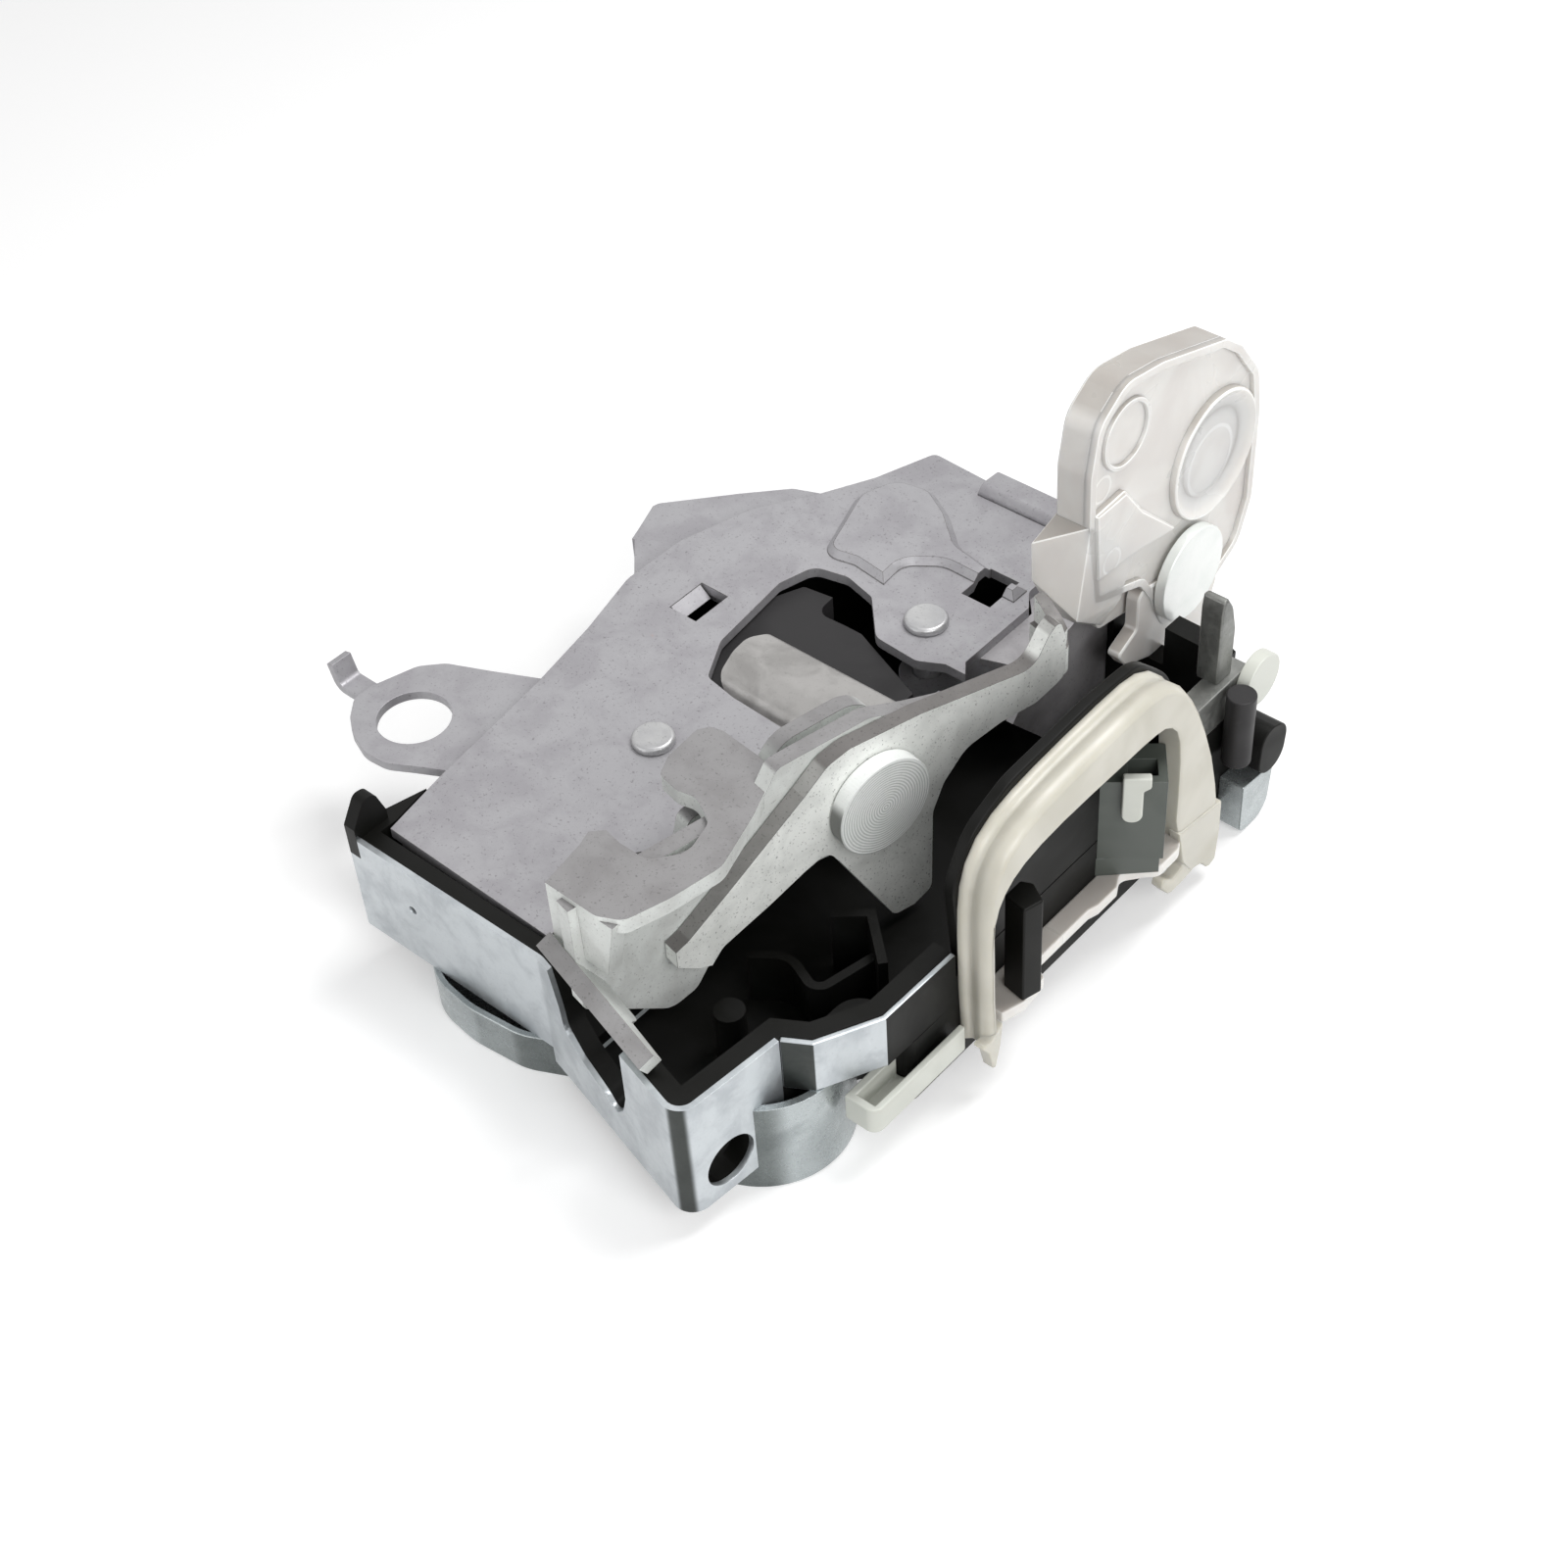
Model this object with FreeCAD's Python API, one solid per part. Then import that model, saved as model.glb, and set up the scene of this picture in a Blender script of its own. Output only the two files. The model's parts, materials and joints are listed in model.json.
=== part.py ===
import FreeCAD, Part

import math
import os

App = FreeCAD
os.makedirs("parts", exist_ok=True)

# Door latch actuator, in millimetres. It is drawn with Z = 0 on the latch plate's top face, X to the
# striker's side and Y along the plate, and is written out from the datum below.

# Sheet layers and the case
PLATE_T = 2.0
BACK_T = 1.8
EAR_LOW = -9.0
SKIN_T = 1.0
RIM_T = 3.3
FLOOR_T = 2.5
CASE_DEPTH = 24.9
CASE_LEFT_DEPTH = 21.3
FACET_DEPTH = 11.0
BASE_Z = -30.0
PAN_T = 1.2
SCREW_R = 1.6
SEAT_GAP = 0.3
RUN_GAP = 0.05

# Lug and the datum of the whole part
LUG_X = -62.9
LUG_Y = -25.4
LUG_HOLE_R = 6.6

# Claw, pawl and their rivets
CLAW_X = -24.2
CLAW_Y = -5.7
PAWL_X = -6.9
PAWL_Y = 46.0
RIVET_R = 2.6
CLAW_HEAD_R = 3.8
PAWL_HEAD_R = 4.0
HEAD_H = 1.5
EMBOSS_H = 1.4
EMBOSS_SLOPE = 1.2
CLAW_TOP = -4.0
CLAW_T = 5.0
JACKET_TOP = -2.4
JACKET_SKIN = 1.2
PAWL_TOP = -11.0
PAWL_T = 4.0
SPRING_R = 3.9

# Lever stack on the pivot pin
LEVER_TURN = -11.7
PIN_X = 0.65
PIN_Y = 3.13
PIN_Z = 10.3
PIN_R = 6.0
PIN_HEAD_R = 9.0
PIN_HEAD_T = 3.0
LEVER_T = 3.0
LEVER_GAP = 0.3
BRACKET_T = 3.0
BRACKET_A = 6.0
HOOK_A = 13.7
FRONT_A = HOOK_A + LEVER_T + LEVER_GAP
HOOK_TOP = 20.0

# White lever and the sheet that carries it
SHEET_X = 13.0
SHEET_T = 1.5
WHITE_X = 17.0
WHITE_T = 7.0
DISC_Y = 79.1
DISC_Z = 5.8
DISC_R = 9.1
DISC_T = 2.0
DISC_SHAFT_R = 5.0

# Arch and the connector side
WALL_X = 45.3
WALL_T = 4.3
ARCH_W = 6.2
ARCH_T = 2.2
ARCH_FLANGE_T = 2.0
COVER_TOP = -13.0
COVER_T = 2.5
COVER_STEP = 5.0

# Front hole in the case
HOLE_Y = -53.1
HOLE_Z = -18.1
HOLE_R = 4.7

# Motor drive
MOTOR_R = 9.0
MOTOR_Y = -39.0
WORM_LIFT = 3.8
MOTOR_Z = FLOOR_T - CASE_LEFT_DEPTH + WORM_LIFT
MOTOR_FLAT = 7.4
MOTOR_START = -35.5
MOTOR_END = -14.0
WORM_R = 3.0
WHEEL_R = 9.0
WHEEL_X = -6.0
WHEEL_PIN_R = 1.5
WHEEL_Y = MOTOR_Y + WORM_R + WHEEL_R + SEAT_GAP

Z_UP = App.Vector(0, 0, 1)


def rounded(points, closed=True):
    """Edges through the points, with an arc of the third value, where given, at each corner."""
    count = len(points)
    corners = []
    for i, point in enumerate(points):
        here = App.Vector(point[0], point[1], 0)
        radius = point[2] if len(point) > 2 else 0
        ends = not closed and i in (0, count - 1)
        if radius <= 0 or ends:
            corners.append((here, here, None))
            continue
        before = App.Vector(*points[i - 1][:2], 0) - here
        after = App.Vector(*points[(i + 1) % count][:2], 0) - here
        half = before.getAngle(after) / 2
        if half > math.pi / 2 - 0.01:
            corners.append((here, here, None))
            continue
        reach = min(radius / math.tan(half), 0.48 * before.Length, 0.48 * after.Length)
        radius = reach * math.tan(half)
        before.normalize()
        after.normalize()
        middle = before + after
        middle.normalize()
        centre = here + middle * (radius / math.sin(half))
        corners.append((here + before * reach, here + after * reach, centre - middle * radius))
    edges = []
    for i, (start, end, top) in enumerate(corners):
        if top is not None:
            edges.append(Part.Arc(start, top, end).toShape())
        last = not closed and i == count - 1
        following = corners[(i + 1) % count][0]
        if not last and end.distanceToPoint(following) > 1e-4:
            edges.append(Part.LineSegment(end, following).toShape())
    return Part.Wire(edges)


def turn(points):
    """Twice the signed area: positive when the points run anticlockwise."""
    pairs = zip(points, points[1:] + points[:1])
    return sum(a[0] * b[1] - b[0] * a[1] for a, b in pairs)


def inset(points, gap, closed=True):
    """The outline moved to its left side by a gap, with its corner arcs kept concentric."""
    count = len(points)
    moved = []
    for i, point in enumerate(points):
        here = App.Vector(point[0], point[1], 0)
        before = here - App.Vector(*points[i - 1][:2], 0)
        after = App.Vector(*points[(i + 1) % count][:2], 0) - here
        if not closed and i == 0:
            before = after
        if not closed and i == count - 1:
            after = before
        before = App.Vector(before).normalize()
        after = App.Vector(after).normalize()
        left_before = Z_UP.cross(before)
        left_after = Z_UP.cross(after)
        shift = (left_before + left_after) * (gap / (1 + left_before.dot(left_after)))
        bend = before.cross(after).z
        radius = point[2] if len(point) > 2 else 0
        if radius > 0:
            radius = max(radius - math.copysign(gap, bend), 0.1)
        moved.append((here.x + shift.x, here.y + shift.y, radius))
    return moved


def band(path, thickness):
    """An open path given a thickness to its left side, as one closed outline."""
    return list(path) + inset(list(path), thickness, closed=False)[::-1]


def axes(u, v, origin=App.Vector()):
    """A placement whose own X and Y run along u and v."""
    w = u.cross(v)
    return App.Placement(App.Matrix(u.x, v.x, w.x, origin.x, u.y, v.y, w.y, origin.y,
                                    u.z, v.z, w.z, origin.z, 0, 0, 0, 1))


def direction(degrees):
    """A flat unit vector at an angle from X."""
    return App.Vector(math.cos(math.radians(degrees)), math.sin(math.radians(degrees)), 0)


PIN_AXIS = direction(LEVER_TURN)
LEVER_ALONG = direction(LEVER_TURN + 90)
FLAT = App.Placement()
SIDE = axes(App.Vector(0, 1, 0), Z_UP)
FRONT = axes(App.Vector(1, 0, 0), Z_UP)
LEVER = axes(LEVER_ALONG, Z_UP)
PIN_L = App.Vector(PIN_X, PIN_Y, 0).dot(LEVER_ALONG)


def slab(points, low, high, plane=FLAT):
    """A flat outline made solid between two heights above its plane."""
    face = Part.Face(rounded(points))
    face.translate(App.Vector(0, 0, low))
    solid = face.extrude(App.Vector(0, 0, high - low))
    solid.Placement = plane.multiply(solid.Placement)
    return solid


def cone(points, low, high, lean, plane=FLAT):
    """An outline drawn in by lean at its high end, as a drafted or formed boss."""
    wires = []
    side = 1 if turn(points) > 0 else -1
    for level, gap in ((low, 0), (high, lean * side)):
        wire = rounded(inset(points, gap))
        wire.translate(App.Vector(0, 0, level))
        wires.append(wire)
    solid = Part.makeLoft(wires, True, True)
    solid.Placement = plane.multiply(solid.Placement)
    return solid


def rod(radius, low, high, u, v, plane=FLAT):
    """A cylinder that stands on a plane at u, v."""
    solid = Part.makeCylinder(radius, high - low, App.Vector(u, v, low))
    solid.Placement = plane.multiply(solid.Placement)
    return solid


def prism(radius, low, high, x, y, sides=8):
    """A many-sided rod for small round work that stays hidden."""
    turns = [2 * math.pi * (k + 0.5) / sides for k in range(sides)]
    return slab([(x + radius * math.cos(a), y + radius * math.sin(a)) for a in turns], low, high)


def block(x0, x1, y0, y1, z0, z1):
    return Part.makeBox(x1 - x0, y1 - y0, z1 - z0, App.Vector(x0, y0, z0))


def join(*solids):
    return solids[0].fuse(list(solids[1:])).removeSplitter()


def take(solid, *tools):
    return solid.cut(list(tools)).removeSplitter()


def save(node, *solids):
    """One node's solids, moved to the datum and written out."""
    shape = solids[0] if len(solids) == 1 else Part.makeCompound(list(solids))
    shape = shape.copy()
    shape.translate(App.Vector(-LUG_X, -LUG_Y, PLATE_T))
    shape.exportStep(os.path.join("parts", node + ".step"))


# Outlines that several pieces share
MOUTH = [(12, 9), (-21, 10.7, 2), (-27.9, 11.9, 2), (-32.4, 20.3, 4), (-34.6, 38.4, 3), (-32.6, 45.7, 3),
         (-25.9, 47.2, 3), (-19, 45.5, 2), (-11.5, 37.6, 3), (-2, 37, 3), (2.6, 39.4), (12, 39.4)]
PLATE = [(-44.3, -47.5), (-6.7, -48.3), (-9, -27), (-4, -21), (7, -19), (8, 12), (8, 38),
         (5, 42), (5, 60), (2.4, 63.5, 2), (2.4, 80), (-22, 80),
         (-23, 84.4), (-36.2, 85.2, 1.5), (-40.5, 72.7, 3), (-45.6, 62.9, 6), (-53, 51.4, 8),
         (-57.3, 36.1, 10), (-57.4, 22.7, 8), (-53.6, 8.6, 8), (-50.6, -6.7, 8), (-46.9, -33.5, 3)]
BACK = [(-36.6, -31), (-36.6, 61.5), (-47.3, 64.8, 2), (-52.6, 62.7, 3), (-59.6, 55.5, 3), (-69.9, 44, 2),
        (-70.2, 42.7), (-66.9, 34.2, 3), (-59.6, 26.5, 4), (-54, 20, 4), (-51, -4, 2), (-60.9, -8.7, 6),
        (-68.8, -12.2, 4), (-72.3, -15.8, 4), (-75, -24.6, 4), (-75, -28.5, 3), (-71.9, -32.2, 4),
        (-68.5, -34.7, 6), (-63.4, -36.6, 6), (-58.4, -36.2, 6), (-54.3, -33.9, 4), (-48.7, -31, 3)]
CASE_FRONT = [(-48.9, -53), (-4.9, -52.7, 4), (33.4, -62.4, 3.5), (35.3, -41.7)]
CASE_HIGH = CASE_FRONT + [(39.7, -39.1), (45.1, -28.5), (45.3, -14)]
HOUSING_BACK = [(45.3, 70, 3), (36, 74, 3), (-33, 76, 4), (-44, 61), (-51.5, 49), (-55, 36), (-55, 24),
                (-51.5, 9), (-48.6, -7), (-45.4, -33), (-48.9, -47)]
HOUSING_HIGH = CASE_HIGH + HOUSING_BACK
HOUSING_LOW = CASE_FRONT + [(35.6, -24, 2), (45.3, -24, 2)] + HOUSING_BACK
CASE_LEFT_FLOOR = [(-47.9, -52), (-4.9, -51.7), (1, -53), (1, -28), (-45, -28)]
MOUTH_SIDE = MOTOR_FLAT + SEAT_GAP
PAN_MOUTH = [(MOTOR_START - SEAT_GAP, MOTOR_Y - MOUTH_SIDE), (MOTOR_END + 1.5, MOTOR_Y - MOUTH_SIDE),
             (MOTOR_END + 1.5, MOTOR_Y + MOUTH_SIDE), (MOTOR_START - SEAT_GAP, MOTOR_Y + MOUTH_SIDE)]
PAN = [(-38, -49, 4), (-31, -54.6, 12), (-22, -55.6, 20), (-11, -54.4, 12), (-1, -49.5, 5), (-1, -29, 5),
       (-38, -29, 5)]
ARCH_OUTER = [(-10.6, -20), (-11.8, 0), (-11.7, 14.5, 9), (-7, 22.4, 8), (1.5, 25.6, 12), (22, 26.8, 14),
              (34, 26, 8), (42.6, 17.6, 14), (52.4, -4.2, 20), (58, -18, 10), (60.4, -26, 4), (60, -30)]
ARCH_INNER = [(-8.6, -18), (-10.2, 5.6, 10), (-8, 12.6, 7), (0.5, 16.8, 8), (21.6, 17.6, 20), (33.6, 17.2, 6),
              (39.2, 13, 6), (41.6, 5, 20), (45.2, -7, 10), (44.8, -18, 6), (49, -27), (50.5, -30)]



def plate_emboss(level):
    """The formed relief round the pawl's rivet, raised from a level."""
    border = [(-33.5, 49, 4), (-39.4, 66, 6), (-36.5, 74, 5), (-29, 75.4, 5), (-22, 71.5, 6), (-15, 65.6, 5),
              (-5, 63.6, 3), (2, 63.4), (2, 59.5), (-14, 59.8, 5), (-19.9, 55.6, 4), (-19.4, 49.4),
              (-27, 50.4)]
    relief = slab(border, level - 0.01, level + EMBOSS_H)
    top = [edge for edge in relief.Edges if edge.BoundBox.ZMin > level + EMBOSS_H - 0.01]
    return relief.makeChamfer(EMBOSS_SLOPE, top)


def latch_plate():
    """The face plate: mouth, relief, slots, turned-down front edge and rolled rear lip."""
    plate = slab(PLATE, -PLATE_T, 0)
    plate = join(plate, plate_emboss(0))
    plate = take(plate, plate_emboss(-PLATE_T - 0.01), slab(MOUTH, -PLATE_T - 1, 3))
    front = slab([(-42.3, -47.3), (-8.7, -48), (-8.7, -46.2), (-42.3, -45.5)], -7, -1)
    lip_path = [(78.6, -1.9), (79.8, -1.9, 0.8), (80.6, 1.9, 2.4), (87, 1.6, 1.4), (87, -1.2)]
    lip = slab(band(lip_path, -1.6), -22, 2.4, SIDE)
    slot = slab([(-6.9, 56), (-0.6, 56), (-0.6, 64.5), (-6.9, 64.5)], -3, 4)
    lance = slab([(-45.9, 21.5), (-39.5, 21.5), (-39.5, 30), (-45.9, 30)], -3, 1)
    tab = slab([(-45.9, -1.9), (-45.9, -0.2), (-43.5, -2.2), (-44.6, -3.4)], -29.6, -21.9, FRONT)
    rivet_holes = [rod(RIVET_R, -3, 3, CLAW_X, CLAW_Y), rod(RIVET_R, -3, 3, PAWL_X, PAWL_Y)]
    plate = take(join(plate, front, lip), slot, lance, *rivet_holes)
    return join(plate, tab)


def back_plate():
    """The second sheet under the face plate, with the holed lug and the rear ear."""
    sheet = slab(BACK, -PLATE_T - BACK_T, -PLATE_T)
    hook_path = [(-74, -2.9), (-80.2, -2.9, 1), (-81.4, 1.2)]
    hook = slab(band(hook_path, BACK_T * 0.9), 22.8, 27.2, FRONT)
    ear_edge = slab(band([(-66.6, 33.2), (-70.1, 43), (-67.6, 46)], -BACK_T), EAR_LOW, -PLATE_T)
    window = slab([(-46.6, 20.8), (-38.8, 20.8), (-38.8, 30.7), (-46.6, 30.7)], -5, -1)
    return take(join(sheet, hook, ear_edge), rod(LUG_HOLE_R, -5, 0, LUG_X, LUG_Y), window)


def rivet(x, y, head_r, foot_z):
    """A shouldered rivet with a domed head over the face plate."""
    head = rod(head_r, 0, HEAD_H, x, y)
    rim = [edge for edge in head.Edges if edge.BoundBox.ZMin > HEAD_H - 0.1]
    return join(head.makeChamfer(0.5, rim), rod(RIVET_R, foot_z, 0.2, x, y))


def cavity_ribs():
    """The curved rib, box corner and small boss on the floor of the open case."""
    floor = -CASE_DEPTH + 1
    curve = slab(band([(12.8, -24.8), (18, -21, 4), (26.6, -24.5, 3), (29.4, -11.8)], 1.6), floor, -12)
    corner = slab(band([(19.5, -11.8), (24, -8), (31.9, -14.8)], 1.6), floor, -9)
    boss = rod(2.6, floor, -12, 17.9, -34.7)
    return [curve, corner, boss]


def case_hole():
    return rod(HOLE_R, 29.3, 40, HOLE_Y, HOLE_Z, SIDE)


def case_notch():
    """The notch in the slanted front wall that the hook lever's flange passes."""
    outline = [(-3, 3), (-2, 0, 3), (0, -7), (0.6, -11.5, 3), (4.9, -14.7, 4), (11.6, -16.5, 3),
               (14, -18.3, 2), (16.8, -15.1, 3), (18.2, -10.6, 2), (18.4, 3)]
    return slab(outline, 45, 62, FRONT)


def housing():
    """The black moulded tub that holds the whole mechanism."""
    wall = SKIN_T + RIM_T
    high = slab(HOUSING_HIGH, -FACET_DEPTH, 0)
    low = slab(HOUSING_LOW, -CASE_DEPTH, -FACET_DEPTH)
    hollow_high = slab(inset(HOUSING_HIGH, wall), -FACET_DEPTH - 0.01, 1)
    hollow_low = slab(inset(HOUSING_LOW, wall), -CASE_DEPTH + FLOOR_T, -FACET_DEPTH)
    shell = take(join(high, low), hollow_high, hollow_low)
    left_under = block(-60, 1, -60, -28, -CASE_DEPTH - 1, -CASE_LEFT_DEPTH)
    left_floor = slab(CASE_LEFT_FLOOR, -CASE_LEFT_DEPTH, -CASE_LEFT_DEPTH + FLOOR_T)
    pan_opening = slab(PAN_MOUTH, -CASE_DEPTH - 1, FLOOR_T - CASE_LEFT_DEPTH + 1)
    shell = take(join(take(shell, left_under), left_floor), pan_opening)
    bosses = [rod(5, -CASE_DEPTH + 1, PAWL_TOP - PAWL_T - 4.6, PAWL_X, PAWL_Y),
              rod(5, -CASE_DEPTH + 1, -16.2, CLAW_X, CLAW_Y)]
    end_wall = slab([(-53, -4), (-53, 2.5), (-50, 7.2, 1.5), (-47.6, 6.8, 1.5), (-46, 2), (-46, -4)],
                    -48.9, -46.4, SIDE)
    shell = join(shell, end_wall, *bosses, *cavity_ribs())
    right_top = block(40, 50, -12, 80, -COVER_STEP, 1)
    seats = [slab(inset(PLATE, -SEAT_GAP), -PLATE_T, 1), slab(inset(BACK, -SEAT_GAP), -PLATE_T - BACK_T, 1)]
    front_edge = block(-45, -5.5, -49, -45.2, -7.4, 1)
    window = block(-46.6, -38.8, 20.8, 30.7, -6, 0)
    rivets = [rod(RIVET_R, -22, 1, CLAW_X, CLAW_Y), rod(RIVET_R, -22, 1, PAWL_X, PAWL_Y)]
    skin = [slab(band(CASE_FRONT, SKIN_T), -CASE_DEPTH, 1), slab(band(CASE_SIDE, SKIN_T), -FACET_DEPTH, 1)]
    lip_room = block(2, SHEET_X, 68, 76, -PLATE_T - SHEET_T - SEAT_GAP, 1)
    sheet_slit = block(SHEET_X - SEAT_GAP, SHEET_X + SHEET_T + SEAT_GAP, 60, 90, -CASE_DEPTH + FLOOR_T, 1)
    lever_room = block(WHITE_X - 1, WHITE_X + WHITE_T + 3, 60, 90, -8.5, 1)
    return take(shell, right_top, front_edge, window, case_hole(), case_notch(), lip_room, sheet_slit,
                lever_room, *seats, *rivets, *skin)


CASE_SIDE = [(35.3, -41.7), (39.7, -39.1), (45.1, -28.5), (45.3, -12)]


def case_shell():
    """The zinced steel skin round the front of the case."""
    skin = slab(band(CASE_FRONT, SKIN_T), -CASE_DEPTH, 0)
    left_under = block(-60, -4.9, -60, -40, -CASE_DEPTH - 1, -CASE_LEFT_DEPTH)
    pinhole = rod(0.8, 50, 55, -35.1, -9, FRONT)
    return take(skin, left_under, case_hole(), case_notch(), pinhole)


def case_side():
    """The facet and the second wall right of the case corner."""
    return slab(band(CASE_SIDE, SKIN_T), -FACET_DEPTH, 0)


def left_cup():
    """The drawn pan under the motor."""
    outer = slab(PAN, BASE_Z, -CASE_LEFT_DEPTH)
    return take(outer, slab(inset(PAN, PAN_T), BASE_Z + PAN_T, 0))


def right_cup():
    """The drawn round well under the case corner."""
    outer = rod(14.9, BASE_Z, -FACET_DEPTH, 25.5, -36.3)
    inner = rod(14.9 - PAN_T, BASE_Z + PAN_T, 0, 25.5, -36.3)
    return take(outer, inner, slab(HOUSING_LOW, -CASE_DEPTH, 0))


def bottom_cover():
    """The shallow tray that closes the housing from below."""
    outer = slab(COVER, BASE_Z, -CASE_DEPTH)
    hollow = slab(inset(COVER, PAN_T + 1), BASE_Z + PAN_T + 1, 0)
    bosses = [block(x - 3.6, x + 3.6, y - 3.6, y + 3.6, BASE_Z, -CASE_DEPTH) for x, y in SCREWS]
    holes = [prism(SCREW_R, BASE_Z - 1, 0, x, y) for x, y in SCREWS]
    return take(join(take(outer, hollow), *bosses), *holes)


COVER = [(-40, -24, 4), (38, -18, 4), (38, 66, 5), (-30, 71, 5), (-40, 58), (-48, 45), (-50, 30),
         (-46, 6)]
SCREWS = [(-34, -17), (31, -11), (31, 59), (-27, 62)]


def cover_screws():
    """Headless screws up through the cover's bosses to the housing floor."""
    screws = []
    for x, y in SCREWS:
        screws.append(prism(SCREW_R, BASE_Z + 0.2, -CASE_DEPTH, x, y))
    return screws


def striker_guide():
    """The formed bright hump that lies along the mouth."""
    outline = [(-26.4, 13.2, 3), (-22, 10.7), (8, 9.2), (8, 26.2), (-24.4, 26.2, 2.5), (-27.5, 22, 4)]
    section = [(9, -PLATE_T), (11.4, -PLATE_T, 1), (13.4, 0.6, 3), (17.6, 2.4, 4), (25, 2.2, 1.5),
               (26.2, 0.8), (26.2, -PLATE_T), (30, -PLATE_T), (30, 9), (9, 9)]
    solid = slab(outline, -PLATE_T, 2.4)
    solid = take(solid, slab(section, -30, 10, SIDE))
    return solid


def lever_bracket():
    """The upright sheet that carries the pivot pin, with its foot under the face plate."""
    outline = [(-30, -PLATE_T - BRACKET_T), (4, -PLATE_T - BRACKET_T), (4, 0, 3), (12.6, 5, 4),
               (12.6, 19.6, 9), (-6.2, 19.6, 9), (-10, 14.5, 4), (-24.5, 14.5, 2)]
    sheet = slab(outline, BRACKET_A, BRACKET_A + BRACKET_T, LEVER)
    foot = slab([(-2, -20), (BRACKET_A + 1, -20), (BRACKET_A + 1, 4), (-2, 4)],
                -PLATE_T - BRACKET_T, -PLATE_T, axes(PIN_AXIS, LEVER_ALONG))
    plate_edge = slab(inset(PLATE, -SEAT_GAP), -PLATE_T, 0.5)
    return take(join(sheet, foot), rod(PIN_R, 0, 30, PIN_L, PIN_Z, LEVER), plate_edge)


def pivot_pin():
    """The turned pin of both levers, with fine rings on its head."""
    start = FRONT_A + LEVER_T + 0.2
    pin = join(rod(PIN_R, BRACKET_A, start + 0.5, PIN_L, PIN_Z, LEVER),
               rod(PIN_HEAD_R, start, start + PIN_HEAD_T, PIN_L, PIN_Z, LEVER))
    return pin


def pin_bore():
    return rod(PIN_R + RUN_GAP, 0, 40, PIN_L, PIN_Z, LEVER)


def front_lever():
    """The long steel lever with its bent right end."""
    outline = [(-36, 1.5), (-33.5, 2.5, 3), (-24.5, 8.5), (-10.1, 18.5, 2), (-5.3, 22.2, 4),
               (-1, 23.2, 4), (13.1, 22, 6), (36.5, 17.9, 4), (39.6, 22.9, 3), (42, 25.1, 2),
               (43.6, 20, 2), (43.3, 12.1, 3), (37.2, 9.9, 4), (29.6, 10.1, 4), (22.3, 8.9, 5),
               (17.6, 4.2, 4), (15.2, -1, 5), (14.7, -18.3, 2), (10.9, -20), (6.6, -19.7, 2),
               (-4, 0.2, 4), (-6.2, 3.9, 3), (-10.8, 2.6, 5), (-17.7, -0.1), (-27.4, -3.3, 3),
               (-29.7, -5.9), (-32.1, -4.9), (-36, -2)]
    web = slab(outline, FRONT_A, FRONT_A + LEVER_T, LEVER)
    outer = FRONT_A + LEVER_T - 0.3
    end_path = [(40.5, outer), (45.6, outer, 3), (46, FRONT_A - 6)]
    end = slab(band(end_path, -LEVER_T + 0.6), -17.5, -12.2, axes(LEVER_ALONG, PIN_AXIS))
    return take(join(web, end), pin_bore())


def hook_lever():
    """The rear lever: pin arm, C-shaped flange and the leaning end flange."""
    web_outline = [(-51.5, -3, 2), (-36.1, -14.4, 4), (-31, -13.2, 3), (-26.3, -6.9, 3), (-20, 0.5, 4),
                   (-8, -0.5, 4), (3, -2.2, 4), (11, 0.5, 6), (18, 8.4, 5), (30, 9.6, 2), (30, 14.2, 2),
                   (14.1, 19.8, 6), (5.6, 23.4, 5), (-8.1, 23.6, 3), (-12.5, 23.6, 2), (-15.5, 19, 2),
                   (-51.5, 19)]
    web = slab(web_outline, HOOK_A, HOOK_A + LEVER_T, LEVER)
    top = [(-4.7, -13.8), (-3.4, -12, 1.5), (-1.2, -11.5), (7.9, -12.5, 2), (12, -15.4, 3),
           (15, -22.7, 4), (18.4, -33.5, 5), (16.7, -43, 6), (14.4, -50.5, 3), (10.4, -52.4, 3),
           (-0.2, -52.2), (-1.6, -43.5), (-2.5, -40.6), (-0.6, -38.7), (3, -39.4, 2),
           (8.6, -39.4, 3), (12.4, -34.5, 4), (10.6, -27.8, 3), (5.4, -25.1, 3), (2, -25.8, 2),
           (-2.4, -24.9, 1.5), (-4.2, -21, 2)]
    flange = slab(top, HOOK_TOP - LEVER_T, HOOK_TOP)
    face = slab([(-0.2, 8), (11, 7), (13.5, 19), (-0.2, 19)], 49.2, 52.2, FRONT)
    slope = 9.5
    along = PIN_AXIS * math.cos(math.radians(slope)) - Z_UP * math.sin(math.radians(slope))
    down = LEVER_ALONG * 0.5 - Z_UP * 0.866
    down = (down - along * down.dot(along)).normalize()
    lean = axes(along, down, App.Vector(-0.6, -52.6, 9.2))
    end_outline = [(0, 0), (27, 0), (27, 3), (18.6, 4), (16.6, 9, 2), (3, 9, 2)]
    end_flange = slab(end_outline, -LEVER_T, 0, lean)
    return take(join(web, flange, face, end_flange), pin_bore())


def side_sheet():
    """The bent sheet that carries the white lever, hooked on the face plate's edge."""
    outline = [(43, -10), (52.4, 0.2, 2), (60, 1, 4), (68, 6, 4), (70, 14.9, 9), (88.2, 14.9, 9),
               (88.2, -3.3, 9), (79, -15, 2), (74, -21, 3), (53, -21, 3)]
    sheet = slab(outline, SHEET_X, SHEET_X + SHEET_T, SIDE)
    lip = slab([(4.9, 46), (SHEET_X + 0.5, 49), (SHEET_X + 0.5, 78), (2.2, 78), (2.2, 64), (4.9, 61)],
               -PLATE_T - SHEET_T, -PLATE_T)
    shaft = rod(DISC_SHAFT_R, 0, 40, DISC_Y, DISC_Z, SIDE)
    return take(join(sheet, lip), shaft)


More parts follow.
